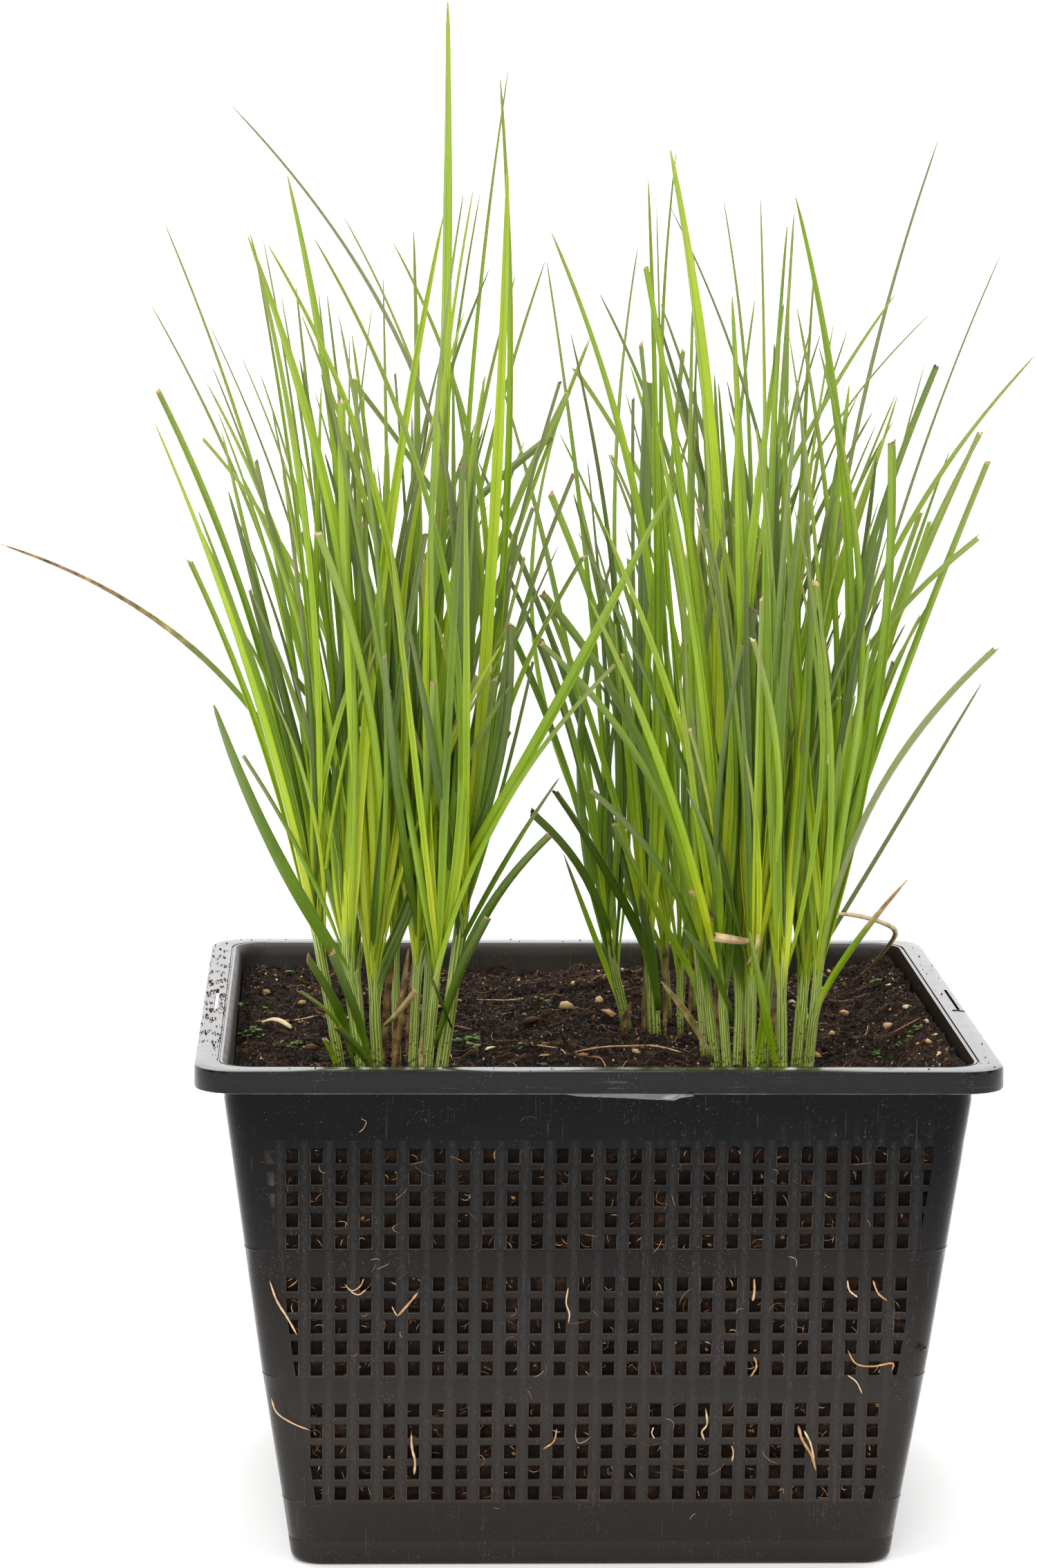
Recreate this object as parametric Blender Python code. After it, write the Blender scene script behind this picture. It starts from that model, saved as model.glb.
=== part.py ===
"""Potted palm sedge: a tufted garden sedge in a square mesh basket of peat.

The basket's base is centred on the origin and stands on Z = 0. The front of
the basket faces -Y, and +X is to the right as one looks at the front.
"""
import math

import bmesh
import bpy
import numpy as np
from mathutils import Matrix
from mathutils.bvhtree import BVHTree

MM = 0.001

# Basket: the common 28 x 28 x 18 cm pond basket. Half sizes are to the outer faces.
RIM_HALF = 140.0 * MM
RIM_HEIGHT = 183.5 * MM
SKIRT_DROP = 8.0 * MM
FLANGE_INNER_HALF = 131.4 * MM
WALL_TOP_HALF = 130.3 * MM
BASE_HALF = 106.5 * MM
WALL = 1.6 * MM
FLOOR = 2.0 * MM
RIM_CORNER = 15.0 * MM
WALL_CORNER = 11.4 * MM
BASE_EDGE = 2.6 * MM
RIM_EDGE = 0.8 * MM
CORNER_STEPS = 3

# Mesh field in each wall: columns of square holes in three bands of five rows.
# Here each column of a band is one slot.
COLUMN_PITCH = 8.49 * MM
ROW_PITCH = 7.775 * MM
HOLE_WIDTH = 4.3 * MM
HOLE_HEIGHT = 5.0 * MM
TOP_ROW_HEIGHT = 150.7 * MM
BAND_FIRST_ROWS = (0, 6, 12)
ROWS_IN_BAND = 5
FIELD_MARGIN = 17.0 * MM
CUT_DEPTH = 8.0 * MM

# Drainage slots through the floor, in two rings round a plain middle.
FLOOR_SLOT_LENGTH = 56.0 * MM
FLOOR_SLOT_WIDTH = 5.0 * MM
FLOOR_SLOT_RINGS = (48.0 * MM, 72.0 * MM)

# Soil: clear of the basket all round, with a surface that rises a little to the back.
SOIL_GAP = 0.35 * MM
SOIL_LEVEL = 169.5 * MM
SOIL_RISE = 0.03
SOIL_SQUARES = 9
SOIL_CORNER_CUT = 4.5 * MM
SOIL_MOUNDS = (
    # x, y, radius and rise in millimetres
    (14, 84, 34, 5.0),
    (-32, 78, 26, -3.0),
    (66, 62, 32, 2.5),
    (-92, 30, 40, 1.5),
    (-8, -40, 30, 2.0),
    (104, -20, 26, -1.5),
)

# Sheaths and leaves
SHEATH_SIDES = 6
SHEATH_TAPER = 0.86
SHEATH_FLATS = 0.9
FOOT_GAP = 0.3 * MM
KEEL = 0.55
LEAF_STATIONS = (0.0, 0.12, 0.42, 0.72, 1.0)
WHOLE_WIDTHS = (0.45, 1.0, 1.0, 0.72, 0.0)
CUT_WIDTHS = (0.45, 1.0, 1.0, 0.95, 0.85)
TURN_LEAST = math.radians(18.0)
TURN_SPREAD = math.radians(34.0)
GOLDEN_SHARE = 0.618034
POINT_SIZE = 0.05 * MM

# Shoots, in millimetres. Each has its foot on the soil (x, y), the top of its rolled
# sheaths (x, y, z), the sheaths' width, and its leaves. A leaf has its tip (x, y, z),
# where it leaves the sheaths (0 at the foot, 1 at the top), how far it arches as a share
# of its length, its width as seen from the front, and whether its tip is whole or cut.
SHOOTS = {
    "shoot_left_1": (
        (-89, -58), (-97, -64, 213), 4.1,
        (
            (-154, -90, 401, 0.96, 0.05, 3.2, "whole"),
            (-155, -40, 410, 0.96, 0.09, 2.7, "cut"),
            (-121, -110, 467, 0.96, 0.08, 1.9, "whole"),
            (-97, -72, 413, 0.96, 0.01, 3.4, "whole"),
        ),
    ),
    "shoot_left_2": (
        (-81, -70), (-87, -74, 207), 4.1,
        (
            (-133, -128, 308, 0.96, -0.06, 4.1, "whole"),
            (-153, -20, 468, 0.96, 0.08, 1.5, "whole"),
            (-109, -50, 486, 0.96, 0.08, 3.4, "whole"),
            (-83, -84, 366, 0.96, 0.00, 4.4, "cut"),
        ),
    ),
    "shoot_left_3": (
        (-76, -62), (-78, -64, 200), 3.9,
        (
            (-128, -60, 510, 0.96, 0.35, 1.7, "whole"),
            (-115, -100, 463, 0.96, 0.21, 2.9, "whole"),
            (-74, -80, 395, 0.96, -0.01, 4.1, "whole"),
            (-46, -72, 386, 0.96, -0.14, 4.6, "cut"),
        ),
    ),
    "shoot_left_4": (
        (-64, -60), (-62, -60, 211), 3.4,
        (
            (-89, -30, 471, 0.96, 0.22, 1.9, "whole"),
            (-53, -50, 547, 0.96, -0.02, 4.1, "whole"),
            (-31, -92, 332, 0.96, -0.15, 4.4, "cut"),
            (22, -120, 381, 0.94, -0.02, 2.2, "whole"),
            (-10, -58, 411, 0.96, 0.11, 2.7, "cut"),
        ),
    ),
    "shoot_left_5": (
        (-59, -72), (-56, -76, 202), 3.4,
        (
            (-99, -130, 466, 0.96, 0.19, 2.2, "whole"),
            (-45, -96, 482, 0.96, 0.07, 2.4, "whole"),
            (-29, -60, 452, 0.96, 0.08, 1.9, "whole"),
            (5, -100, 319, 0.96, 0.14, 2.2, "cut"),
        ),
    ),
    "shoot_left_6": (
        (-54, -62), (-47, -66, 220), 4.9,
        (
            (-50, -168, 482, 0.96, -0.08, 2.2, "whole"),
            (-31, -28, 523, 0.96, 0.05, 2.2, "whole"),
            (-35, -66, 520, 0.96, -0.06, 2.4, "whole"),
            (-14, -104, 280, 0.83, 0.04, 1.9, "whole"),
            (-16, -80, 257, 0.64, 0.13, 3.4, "cut"),
        ),
    ),
    "shoot_left_7": (
        (-81, -42), (-84, -36, 202), 2.9,
        (
            (-214, 6, 351, 0.96, 0.31, 2.4, "whole"),
            (-159, 10, 438, 0.96, 0.11, 1.5, "whole"),
            (-140, -10, 391, 0.96, 0.24, 2.2, "cut"),
            (-12, 30, 390, 0.96, 0.32, 2.9, "cut"),
        ),
    ),
    "shoot_left_8": (
        (-69, -40), (-70, -34, 205), 3.2,
        (
            (-71, 20, 461, 0.96, 0.27, 2.2, "whole"),
            (-64, -10, 466, 0.96, -0.03, 2.9, "whole"),
            (3, 50, 425, 0.96, 0.03, 2.2, "whole"),
        ),
    ),
    "shoot_left_9": (
        (-60, -44), (-57, -34, 206), 3.2,
        (
            (-40, 0, 479, 0.96, 0.06, 1.9, "whole"),
            (-38, -46, 453, 0.96, 0.17, 3.2, "cut"),
            (-13, 78, 453, 0.96, 0.08, 1.9, "whole"),
            (-29, -40, 289, 0.96, 0.10, 2.9, "cut"),
        ),
    ),
    "shoot_middle_1": (
        (18, 14), (11, 4, 197), 3.6,
        (
            (-20, -10, 255, 0.91, 0.20, 2.9, "cut"),
            (-7, 14, 236, 0.40, -0.01, 1.9, "whole"),
            (-29, 70, 406, 0.96, 0.05, 1.9, "whole"),
            (-14, 40, 454, 0.81, 0.03, 2.2, "whole"),
        ),
    ),
    "shoot_middle_2": (
        (27, 5), (25, 0, 198), 4.9,
        (
            (-12, -26, 264, 0.96, 0.05, 4.1, "cut"),
            (-13, 20, 465, 0.91, 0.14, 2.9, "whole"),
            (20, -16, 485, 0.96, 0.02, 2.9, "whole"),
            (24, 36, 410, 0.82, -0.02, 3.9, "cut"),
        ),
    ),
    "shoot_middle_3": (
        (37, 11), (36, 8, 195), 2.2,
        (
            (7, 60, 441, 0.96, 0.19, 3.2, "whole"),
        ),
    ),
    "shoot_middle_4": (
        (44, 44), (43, 36, 192), 2.2,
        (
            (0, 110, 411, 0.96, 0.22, 2.4, "cut"),
            (53, 60, 476, 0.96, -0.11, 2.2, "whole"),
        ),
    ),
    "shoot_middle_5": (
        (34, 34), (32, 30, 195), 2.9,
        (
            (23, 96, 458, 0.96, -0.10, 1.7, "whole"),
            (4, 80, 424, 0.94, -0.30, 2.2, "whole"),
        ),
    ),
    "shoot_right_1": (
        (46, -54), (41, -58, 203), 3.6,
        (
            (-20, -84, 325, 0.96, 0.19, 2.7, "cut"),
            (-3, -96, 275, 0.78, 0.17, 2.4, "cut"),
            (25, -60, 496, 0.96, 0.08, 4.1, "whole"),
        ),
    ),
    "shoot_right_2": (
        (49, -66), (46, -68, 201), 3.2,
        (
            (49, -104, 327, 0.96, 0.08, 2.9, "cut"),
            (42, -82, 257, 0.96, 0.14, 3.4, "cut"),
            (18, -110, 402, 0.96, 0.05, 2.9, "whole"),
        ),
    ),
    "shoot_right_3": (
        (53, -54), (54, -54, 195), 3.4,
        (
            (29, -30, 495, 0.96, -0.10, 2.2, "whole"),
            (54, -90, 338, 0.96, -0.08, 4.1, "cut"),
        ),
    ),
    "shoot_right_4": (
        (57, -68), (57, -70, 202), 3.2,
        (
            (52, -118, 480, 0.96, 0.02, 2.2, "whole"),
            (64, -82, 335, 0.96, -0.05, 3.2, "cut"),
            (46, -96, 430, 0.96, -0.01, 3.2, "whole"),
        ),
    ),
    "shoot_right_5": (
        (63, -54), (63, -52, 207), 3.4,
        (
            (28, -20, 475, 0.94, 0.18, 1.9, "whole"),
            (68, -50, 449, 0.96, -0.01, 2.7, "whole"),
        ),
    ),
    "shoot_right_6": (
        (68, -70), (67, -74, 198), 4.1,
        (
            (61, -120, 471, 0.96, -0.04, 2.4, "whole"),
            (89, -60, 414, 0.96, 0.00, 3.9, "whole"),
            (76, -84, 347, 0.92, 0.00, 4.4, "cut"),
        ),
    ),
    "shoot_right_7": (
        (74, -58), (76, -60, 198), 4.4,
        (
            (144, -40, 459, 0.96, 0.08, 1.7, "whole"),
            (118, -76, 422, 0.96, 0.10, 3.4, "cut"),
            (99, -44, 363, 0.92, -0.01, 3.6, "whole"),
        ),
    ),
    "shoot_right_8": (
        (77, -68), (80, -72, 206), 3.6,
        (
            (68, -74, 480, 0.96, 0.11, 2.2, "whole"),
            (100, -100, 397, 0.96, -0.08, 4.1, "cut"),
            (138, -96, 325, 0.87, 0.19, 2.4, "cut"),
            (109, -92, 243, 0.73, 0.05, 2.7, "whole"),
        ),
    ),
    "shoot_right_9": (
        (43, -30), (41, -24, 200), 2.9,
        (
            (-16, 0, 334, 0.96, 0.16, 2.9, "cut"),
            (9, -40, 255, 0.83, -0.04, 2.4, "cut"),
            (110, -10, 444, 0.96, 0.18, 2.4, "cut"),
        ),
    ),
    "shoot_right_10": (
        (57, -36), (58, -28, 203), 3.2,
        (
            (74, 0, 473, 0.96, 0.00, 1.9, "whole"),
            (115, 20, 406, 0.96, 0.02, 2.2, "whole"),
            (59, -14, 442, 0.93, 0.07, 2.2, "whole"),
        ),
    ),
    "shoot_right_11": (
        (67, -38), (69, -30, 206), 3.2,
        (
            (123, -6, 437, 0.96, 0.32, 1.7, "whole"),
            (143, 0, 394, 0.93, 0.03, 2.4, "cut"),
            (137, -52, 360, 0.87, 0.26, 2.4, "cut"),
        ),
    ),
    "shoot_right_12": (
        (76, -40), (80, -30, 203), 2.9,
        (
            (130, 36, 499, 0.96, 0.09, 1.7, "whole"),
            (160, -20, 423, 0.96, 0.21, 1.9, "whole"),
            (140, -50, 387, 0.93, 0.02, 2.2, "cut"),
            (143, -20, 304, 0.86, 0.00, 1.7, "whole"),
        ),
    ),
}


def clear_scene():
    for thing in list(bpy.data.objects):
        bpy.data.objects.remove(thing, do_unlink=True)


def make_collection(name):
    collection = bpy.data.collections.new(name)
    bpy.context.scene.collection.children.link(collection)
    return collection


def make_material(name, colour, roughness):
    material = bpy.data.materials.new(name)
    material.use_nodes = True
    shader = material.node_tree.nodes["Principled BSDF"]
    shader.inputs["Base Color"].default_value = (*colour, 1.0)
    shader.inputs["Roughness"].default_value = roughness
    shader.inputs["Metallic"].default_value = 0.0
    material.diffuse_color = (*colour, 1.0)
    return material


def add_object(name, bm, collection, material=None):
    bmesh.ops.recalc_face_normals(bm, faces=bm.faces)
    mesh = bpy.data.meshes.new(name)
    bm.to_mesh(mesh)
    bm.free()
    if material:
        mesh.materials.append(material)
    thing = bpy.data.objects.new(name, mesh)
    collection.objects.link(thing)
    return thing


def add_cutter(name, bm, collection):
    """An object that only shapes others: never rendered, and drawn as wire."""
    cutter = add_object(name, bm, collection)
    cutter.hide_render = True
    cutter.display_type = "WIRE"
    return cutter


def add_boolean(thing, other, operation):
    modifier = thing.modifiers.new(other.name, "BOOLEAN")
    modifier.operation = operation
    modifier.solver = "EXACT"
    modifier.object = other


def add_box(bm, centre, size):
    verts = bmesh.ops.create_cube(bm, size=1.0)["verts"]
    bmesh.ops.scale(bm, vec=size, verts=verts)
    bmesh.ops.translate(bm, vec=centre, verts=verts)
    return verts


def add_loft(bm, sections):
    """Join unlike sections into one closed body; a last section of no size is a point."""
    tip = None
    if np.ptp(np.array(sections[-1]), axis=0).max() < POINT_SIZE:
        tip = bm.verts.new(sections[-1][0])
        sections = sections[:-1]
    rings = [[bm.verts.new(point) for point in section] for section in sections]
    for lower, upper in zip(rings, rings[1:]):
        for i in range(len(lower)):
            bm.faces.new((lower[i - 1], lower[i], upper[i], upper[i - 1]))
    bm.faces.new(rings[0])
    if tip is None:
        bm.faces.new(rings[-1])
    else:
        for i in range(len(rings[-1])):
            bm.faces.new((rings[-1][i - 1], rings[-1][i], tip))


# Basket


def wall_half(height):
    """Half width of the basket's outer wall at a height."""
    return BASE_HALF + (WALL_TOP_HALF - BASE_HALF) * height / RIM_HEIGHT


def square_ring(half, height, corner):
    """Points round a square with rounded corners."""
    ring = []
    middle = half - corner
    for quarter in range(4):
        start = quarter * math.pi / 2
        centre_x = math.copysign(middle, math.cos(start + math.pi / 4))
        centre_y = math.copysign(middle, math.sin(start + math.pi / 4))
        for step in range(CORNER_STEPS + 1):
            angle = start + step / CORNER_STEPS * math.pi / 2
            x = centre_x + corner * math.cos(angle)
            y = centre_y + corner * math.sin(angle)
            ring.append((x, y, height))
    return ring


def make_basket_body(bm):
    """Carry the section of the wall, flange and skirt round the basket."""
    under_flange = RIM_HEIGHT - WALL
    skirt_foot = RIM_HEIGHT - SKIRT_DROP
    inner_rim = WALL_TOP_HALF - WALL
    lip_drop = (FLANGE_INNER_HALF - inner_rim) / 2
    section = (
        # half size, height and corner radius, up the outside and then down the inside
        (BASE_HALF - BASE_EDGE, 0.0, WALL_CORNER - BASE_EDGE),
        (wall_half(BASE_EDGE), BASE_EDGE, WALL_CORNER),
        (wall_half(under_flange), under_flange, WALL_CORNER),
        (RIM_HALF - WALL, under_flange, RIM_CORNER - WALL),
        (RIM_HALF - WALL, skirt_foot, RIM_CORNER - WALL),
        (RIM_HALF, skirt_foot, RIM_CORNER),
        (RIM_HALF, RIM_HEIGHT - RIM_EDGE, RIM_CORNER),
        (RIM_HALF - RIM_EDGE, RIM_HEIGHT, RIM_CORNER - RIM_EDGE),
        (FLANGE_INNER_HALF, RIM_HEIGHT, WALL_CORNER),
        (inner_rim, RIM_HEIGHT - lip_drop, WALL_CORNER - WALL),
        (wall_half(FLOOR) - WALL, FLOOR, WALL_CORNER - WALL),
    )
    add_loft(bm, [square_ring(*station) for station in section])


def band_columns(lowest):
    """Places of the columns that fit whole in the mesh field down to a height."""
    field_half = wall_half(lowest) - FIELD_MARGIN
    columns = []
    place = COLUMN_PITCH / 2
    while place + HOLE_WIDTH / 2 < field_half:
        columns += [-place, place]
        place += COLUMN_PITCH
    return columns


def make_wall_slots(bm):
    """Boxes that cut the mesh field of the front wall, turned round the other three."""
    band_height = (ROWS_IN_BAND - 1) * ROW_PITCH + HOLE_HEIGHT
    slot_size = (HOLE_WIDTH, 2 * CUT_DEPTH, band_height)
    for side in range(4):
        verts = []
        for first in BAND_FIRST_ROWS:
            top = TOP_ROW_HEIGHT - first * ROW_PITCH + HOLE_HEIGHT / 2
            middle = top - band_height / 2
            for place in band_columns(top - band_height):
                centre = (place, WALL / 2 - wall_half(middle), middle)
                verts += add_box(bm, centre, slot_size)
        turn = Matrix.Rotation(side * math.pi / 2, 3, "Z")
        bmesh.ops.rotate(bm, cent=(0, 0, 0), matrix=turn, verts=verts)


def make_floor_slots(bm):
    """Boxes that cut the drainage slots, four to a ring."""
    for distance in FLOOR_SLOT_RINGS:
        for side in range(4):
            centre = (distance, 0.0, FLOOR / 2)
            verts = add_box(bm, centre, (FLOOR_SLOT_WIDTH, FLOOR_SLOT_LENGTH, CUT_DEPTH))
            turn = Matrix.Rotation(side * math.pi / 2, 3, "Z")
            bmesh.ops.rotate(bm, cent=(0, 0, 0), matrix=turn, verts=verts)


def build_basket(parts, cutters):
    plastic = make_material("black_plastic", (0.028, 0.027, 0.027), 0.38)
    body = bmesh.new()
    make_basket_body(body)
    basket = add_object("basket", body, parts, plastic)
    for name, make_slots in (("wall_slots", make_wall_slots), ("floor_slots", make_floor_slots)):
        shape = bmesh.new()
        make_slots(shape)
        add_boolean(basket, add_cutter(name, shape, cutters), "DIFFERENCE")


# Soil


def soil_height(x, y):
    """Height of the soil's surface over a point."""
    height = SOIL_LEVEL + SOIL_RISE * y
    for mound_x, mound_y, radius, rise in SOIL_MOUNDS:
        away = math.hypot(x - mound_x * MM, y - mound_y * MM) / (radius * MM)
        height += rise * MM * math.exp(-away * away)
    return height


def soil_half(height):
    """Half width that the soil may have at a height, clear of the wall."""
    return wall_half(height) - WALL - SOIL_GAP


def make_soil_block(bm):
    """A grid set to the surface's height, with its edge drawn down along the basket's taper."""
    level_half = soil_half(SOIL_LEVEL)
    bmesh.ops.create_grid(bm, x_segments=SOIL_SQUARES, y_segments=SOIL_SQUARES, size=level_half)
    for vert in bm.verts:
        x, y = vert.co.x, vert.co.y
        if min(abs(x), abs(y)) > level_half - WALL_CORNER:
            x -= math.copysign(SOIL_CORNER_CUT, x)
            y -= math.copysign(SOIL_CORNER_CUT, y)
        height = soil_height(x, y)
        edge_share = max(abs(x), abs(y)) / level_half
        stretch = 1 + (soil_half(height) / level_half - 1) * edge_share
        vert.co = (x * stretch, y * stretch, height)
    bmesh.ops.triangulate(bm, faces=bm.faces)
    edge = [item for item in bm.edges if item.is_boundary]
    made = bmesh.ops.extrude_edge_only(bm, edges=edge)["geom"]
    bottom = FLOOR + SOIL_GAP
    for vert in (item for item in made if isinstance(item, bmesh.types.BMVert)):
        shrink = soil_half(bottom) / soil_half(vert.co.z)
        vert.co = (vert.co.x * shrink, vert.co.y * shrink, bottom)
    bmesh.ops.contextual_create(bm, geom=[item for item in bm.edges if item.is_boundary])


def build_soil(parts):
    peat = make_material("peat", (0.026, 0.016, 0.010), 0.95)
    bm = bmesh.new()
    make_soil_block(bm)
    return add_object("soil", bm, parts, peat)


# Sheaths and leaves


def unit(vector):
    return vector / np.linalg.norm(vector)


def leaf_route(start, tip, bow):
    """Points along the middle of a leaf that arches up by a share of its length."""
    chord = tip - start
    length = np.linalg.norm(chord)
    upward = unit(np.array((-chord[2], 0.0, chord[0])))
    if upward[2] < 0:
        upward = -upward
    bend = (start + tip) / 2 + upward * bow * length
    share = np.array(LEAF_STATIONS)[:, None]
    return (1 - share) ** 2 * start + 2 * share * (1 - share) * bend + share ** 2 * tip


def blade_turn(number):
    """Angle between a blade's broad side and the front, spread evenly over the leaves."""
    share = number * GOLDEN_SHARE % 1.0
    return math.copysign(TURN_LEAST + TURN_SPREAD * share, share - 0.5)


def blade_sections(route, half_widths, turn):
    """Three-cornered keeled sections, square to the leaf's route."""
    sections = []
    last = len(route) - 1
    for i, point in enumerate(route):
        along = unit(route[min(i + 1, last)] - route[max(i - 1, 0)])
        flat = unit(np.cross(along, (0.0, 1.0, 0.0)))
        deep = np.cross(flat, along)
        side = (math.cos(turn) * flat + math.sin(turn) * deep) * half_widths[i]
        keel = unit(np.cross(side, along)) * half_widths[i] * KEEL if half_widths[i] else 0.0
        sections.append((point - side, point + side, point - keel))
    return sections


def sheath_ring(centre, radius):
    """Points round a sheath, slightly three-cornered as a sedge's stem is."""
    ring = []
    for side in range(SHEATH_SIDES):
        angle = side / SHEATH_SIDES * 2 * math.pi
        reach = radius * (1.0 if side % 2 else SHEATH_FLATS)
        ring.append(centre + np.array((math.cos(angle), math.sin(angle), 0.0)) * reach)
    return ring


def height_on(tree, x, y):
    """Height of the first face under a point high above."""
    return tree.ray_cast((x, y, 1.0), (0.0, 0.0, -1.0))[0].z


def sheath_line(shoot, soil_tree):
    """Foot and top of a shoot's sheaths, the foot on the soil."""
    (foot_x, foot_y), top, girth = shoot[:3]
    foot_height = height_on(soil_tree, foot_x * MM, foot_y * MM) + FOOT_GAP
    foot = np.array((foot_x * MM, foot_y * MM, foot_height))
    return foot, np.array(top) * MM, girth * MM / 2


def make_leaf(bm, row, foot, top, turn):
    """One leaf of the table, rooted on the line of its shoot's sheaths."""
    tip_x, tip_y, tip_z, leaving, bow, width, end = row
    half = width * MM / 2 / math.cos(turn)
    shares = CUT_WIDTHS if end == "cut" else WHOLE_WIDTHS
    start = foot + (top - foot) * leaving
    route = leaf_route(start, np.array((tip_x, tip_y, tip_z)) * MM, bow)
    add_loft(bm, blade_sections(route, [half * share for share in shares], turn))


def build_shoot(name, first_number, soil_tree, parts, cutters):
    """One shoot: its rolled sheaths, with its leaves joined on."""
    green = make_material(name + "_green", (0.13, 0.30, 0.035), 0.5)
    foot, top, radius = sheath_line(SHOOTS[name], soil_tree)
    foot_ring = sheath_ring(foot, radius)
    for point in foot_ring:
        point[2] = height_on(soil_tree, point[0], point[1]) + FOOT_GAP
    bm = bmesh.new()
    add_loft(bm, (foot_ring, sheath_ring(top, radius * SHEATH_TAPER)))
    shoot = add_object(name, bm, parts, green)
    for number, row in enumerate(SHOOTS[name][3], first_number):
        bm = bmesh.new()
        make_leaf(bm, row, foot, top, blade_turn(number))
        add_boolean(shoot, add_cutter(f"leaf_{number}", bm, cutters), "UNION")


def main():
    clear_scene()
    parts = make_collection("potted_palm_sedge")
    cutters = make_collection("cutters")
    build_basket(parts, cutters)
    soil = build_soil(parts)
    corners = [vert.co for vert in soil.data.vertices]
    faces = [tuple(face.vertices) for face in soil.data.polygons]
    soil_tree = BVHTree.FromPolygons(corners, faces)
    leaf_number = 1
    for name, shoot in SHOOTS.items():
        build_shoot(name, leaf_number, soil_tree, parts, cutters)
        leaf_number += len(shoot[3])


main()
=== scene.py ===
"""Looks of the potted palm sedge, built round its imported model.

The basket's base is centred on the origin and stands on Z = 0. The front of the
basket faces -Y, and +X is to the right as one looks at the front.
"""

import math
import random
from functools import partial

import bmesh
import bpy
import numpy as np
from mathutils import Matrix, Vector, noise


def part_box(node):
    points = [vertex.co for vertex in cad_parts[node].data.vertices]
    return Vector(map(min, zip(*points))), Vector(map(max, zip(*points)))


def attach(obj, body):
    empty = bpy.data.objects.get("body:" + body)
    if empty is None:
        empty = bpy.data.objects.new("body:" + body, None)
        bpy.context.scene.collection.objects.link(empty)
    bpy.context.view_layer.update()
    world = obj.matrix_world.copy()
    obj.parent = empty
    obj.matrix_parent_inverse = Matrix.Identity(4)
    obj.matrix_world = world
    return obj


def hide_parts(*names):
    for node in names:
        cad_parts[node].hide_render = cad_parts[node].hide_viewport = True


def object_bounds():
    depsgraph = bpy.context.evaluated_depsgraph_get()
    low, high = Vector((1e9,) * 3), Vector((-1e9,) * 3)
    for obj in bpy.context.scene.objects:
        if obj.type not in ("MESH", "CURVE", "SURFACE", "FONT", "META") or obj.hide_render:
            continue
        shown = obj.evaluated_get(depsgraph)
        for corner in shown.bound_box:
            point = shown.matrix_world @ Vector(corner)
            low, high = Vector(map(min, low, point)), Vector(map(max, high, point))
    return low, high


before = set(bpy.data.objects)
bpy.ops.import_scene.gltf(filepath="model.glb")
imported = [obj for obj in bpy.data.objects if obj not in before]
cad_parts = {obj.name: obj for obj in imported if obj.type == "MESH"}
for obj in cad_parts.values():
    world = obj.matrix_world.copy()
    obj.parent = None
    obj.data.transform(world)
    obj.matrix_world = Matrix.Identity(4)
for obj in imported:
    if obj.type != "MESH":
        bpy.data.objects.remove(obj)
cad_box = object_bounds()

MM = 0.001
GREEN_RANDOM = random.Random(11)
SOIL_RANDOM = np.random.default_rng(23)

# Basket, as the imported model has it
RIM_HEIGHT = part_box("basket")[1].z
WALL_TOP_HALF = 130.3 * MM
BASE_HALF = 106.5 * MM
WALL = 1.6 * MM
WALL_CORNER = 11.4 * MM
# The wall bows out a little between its foot and the skirt; heights in metres
WALL_BOW = 1.3 * MM
BOW_HEIGHTS = (0.015, 0.075, 0.171, 0.179)
BOW_SHARES = (0.0, 1.0, 1.0, 0.1)
CORNER_STEPS = 6

# Mesh field in each wall
COLUMN_PITCH = 8.49 * MM
ROW_PITCH = 7.775 * MM
HOLE_WIDTH = 4.2 * MM
HOLE_HEIGHT = 4.5 * MM
HOLE_TOP_SLOPE = 0.9 * MM
HOLE_ROUND = 0.5 * MM
TOP_ROW_HEIGHT = 150.9 * MM
SOLID_ROWS = (5, 11)
ROW_COUNT = 17
FIRST_COLUMN, LAST_COLUMN = -14, 13
LEFT_MARGIN = 12.0 * MM
RIGHT_MARGIN = 11.2 * MM
NARROWEST_HOLE = 0.5 * MM
# Holes of the top rows whose tops are arched, from this place to the right on the front
ARCHES_FROM = 26.0 * MM
ARCH_RISE = 0.85 * MM
ARCH_ROUND = 1.5 * MM

# Soil surface, as the source has it
SOIL_LEVEL = 169.5 * MM
SOIL_RISE = 0.03
SOIL_GAP = 0.35 * MM
SOIL_MOUNDS = (
    # x, y, radius and rise in millimetres
    (14, 84, 34, 5.0),
    (-32, 78, 26, -3.0),
    (66, 62, 32, 2.5),
    (-92, 30, 40, 1.5),
    (-8, -40, 30, 2.0),
    (104, -20, 26, -1.5),
)
SOIL_BOTTOM = 2.35 * MM
# Soil heaped against the right wall
HEAP_LEVEL = 180.2 * MM
HEAP_FALL = 0.015
HEAP_FROM, HEAP_TO = 103.0 * MM, 126.5 * MM


# Meshes and pieces


def unit(vectors):
    """Vectors brought to length one."""
    return vectors / np.linalg.norm(vectors, axis=-1, keepdims=True)


def smooth_step(value):
    """Ease from 0 to 1."""
    value = np.clip(value, 0.0, 1.0)
    return value * value * (3 - 2 * value)


def add_piece(name, mesh, material, replaced=None):
    """A finished piece, fixed to the one body."""
    mesh.materials.append(material)
    piece = bpy.data.objects.new(name, mesh)
    bpy.context.scene.collection.objects.link(piece)
    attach(piece, "root")
    if replaced:
        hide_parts(replaced)
    return piece


def thicken(piece, thickness, offset=0.0):
    """Thickness for a thin piece, half of it to each side unless offset says otherwise."""
    solid = piece.modifiers.new("thickness", "SOLIDIFY")
    solid.thickness = thickness
    solid.offset = offset


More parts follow.
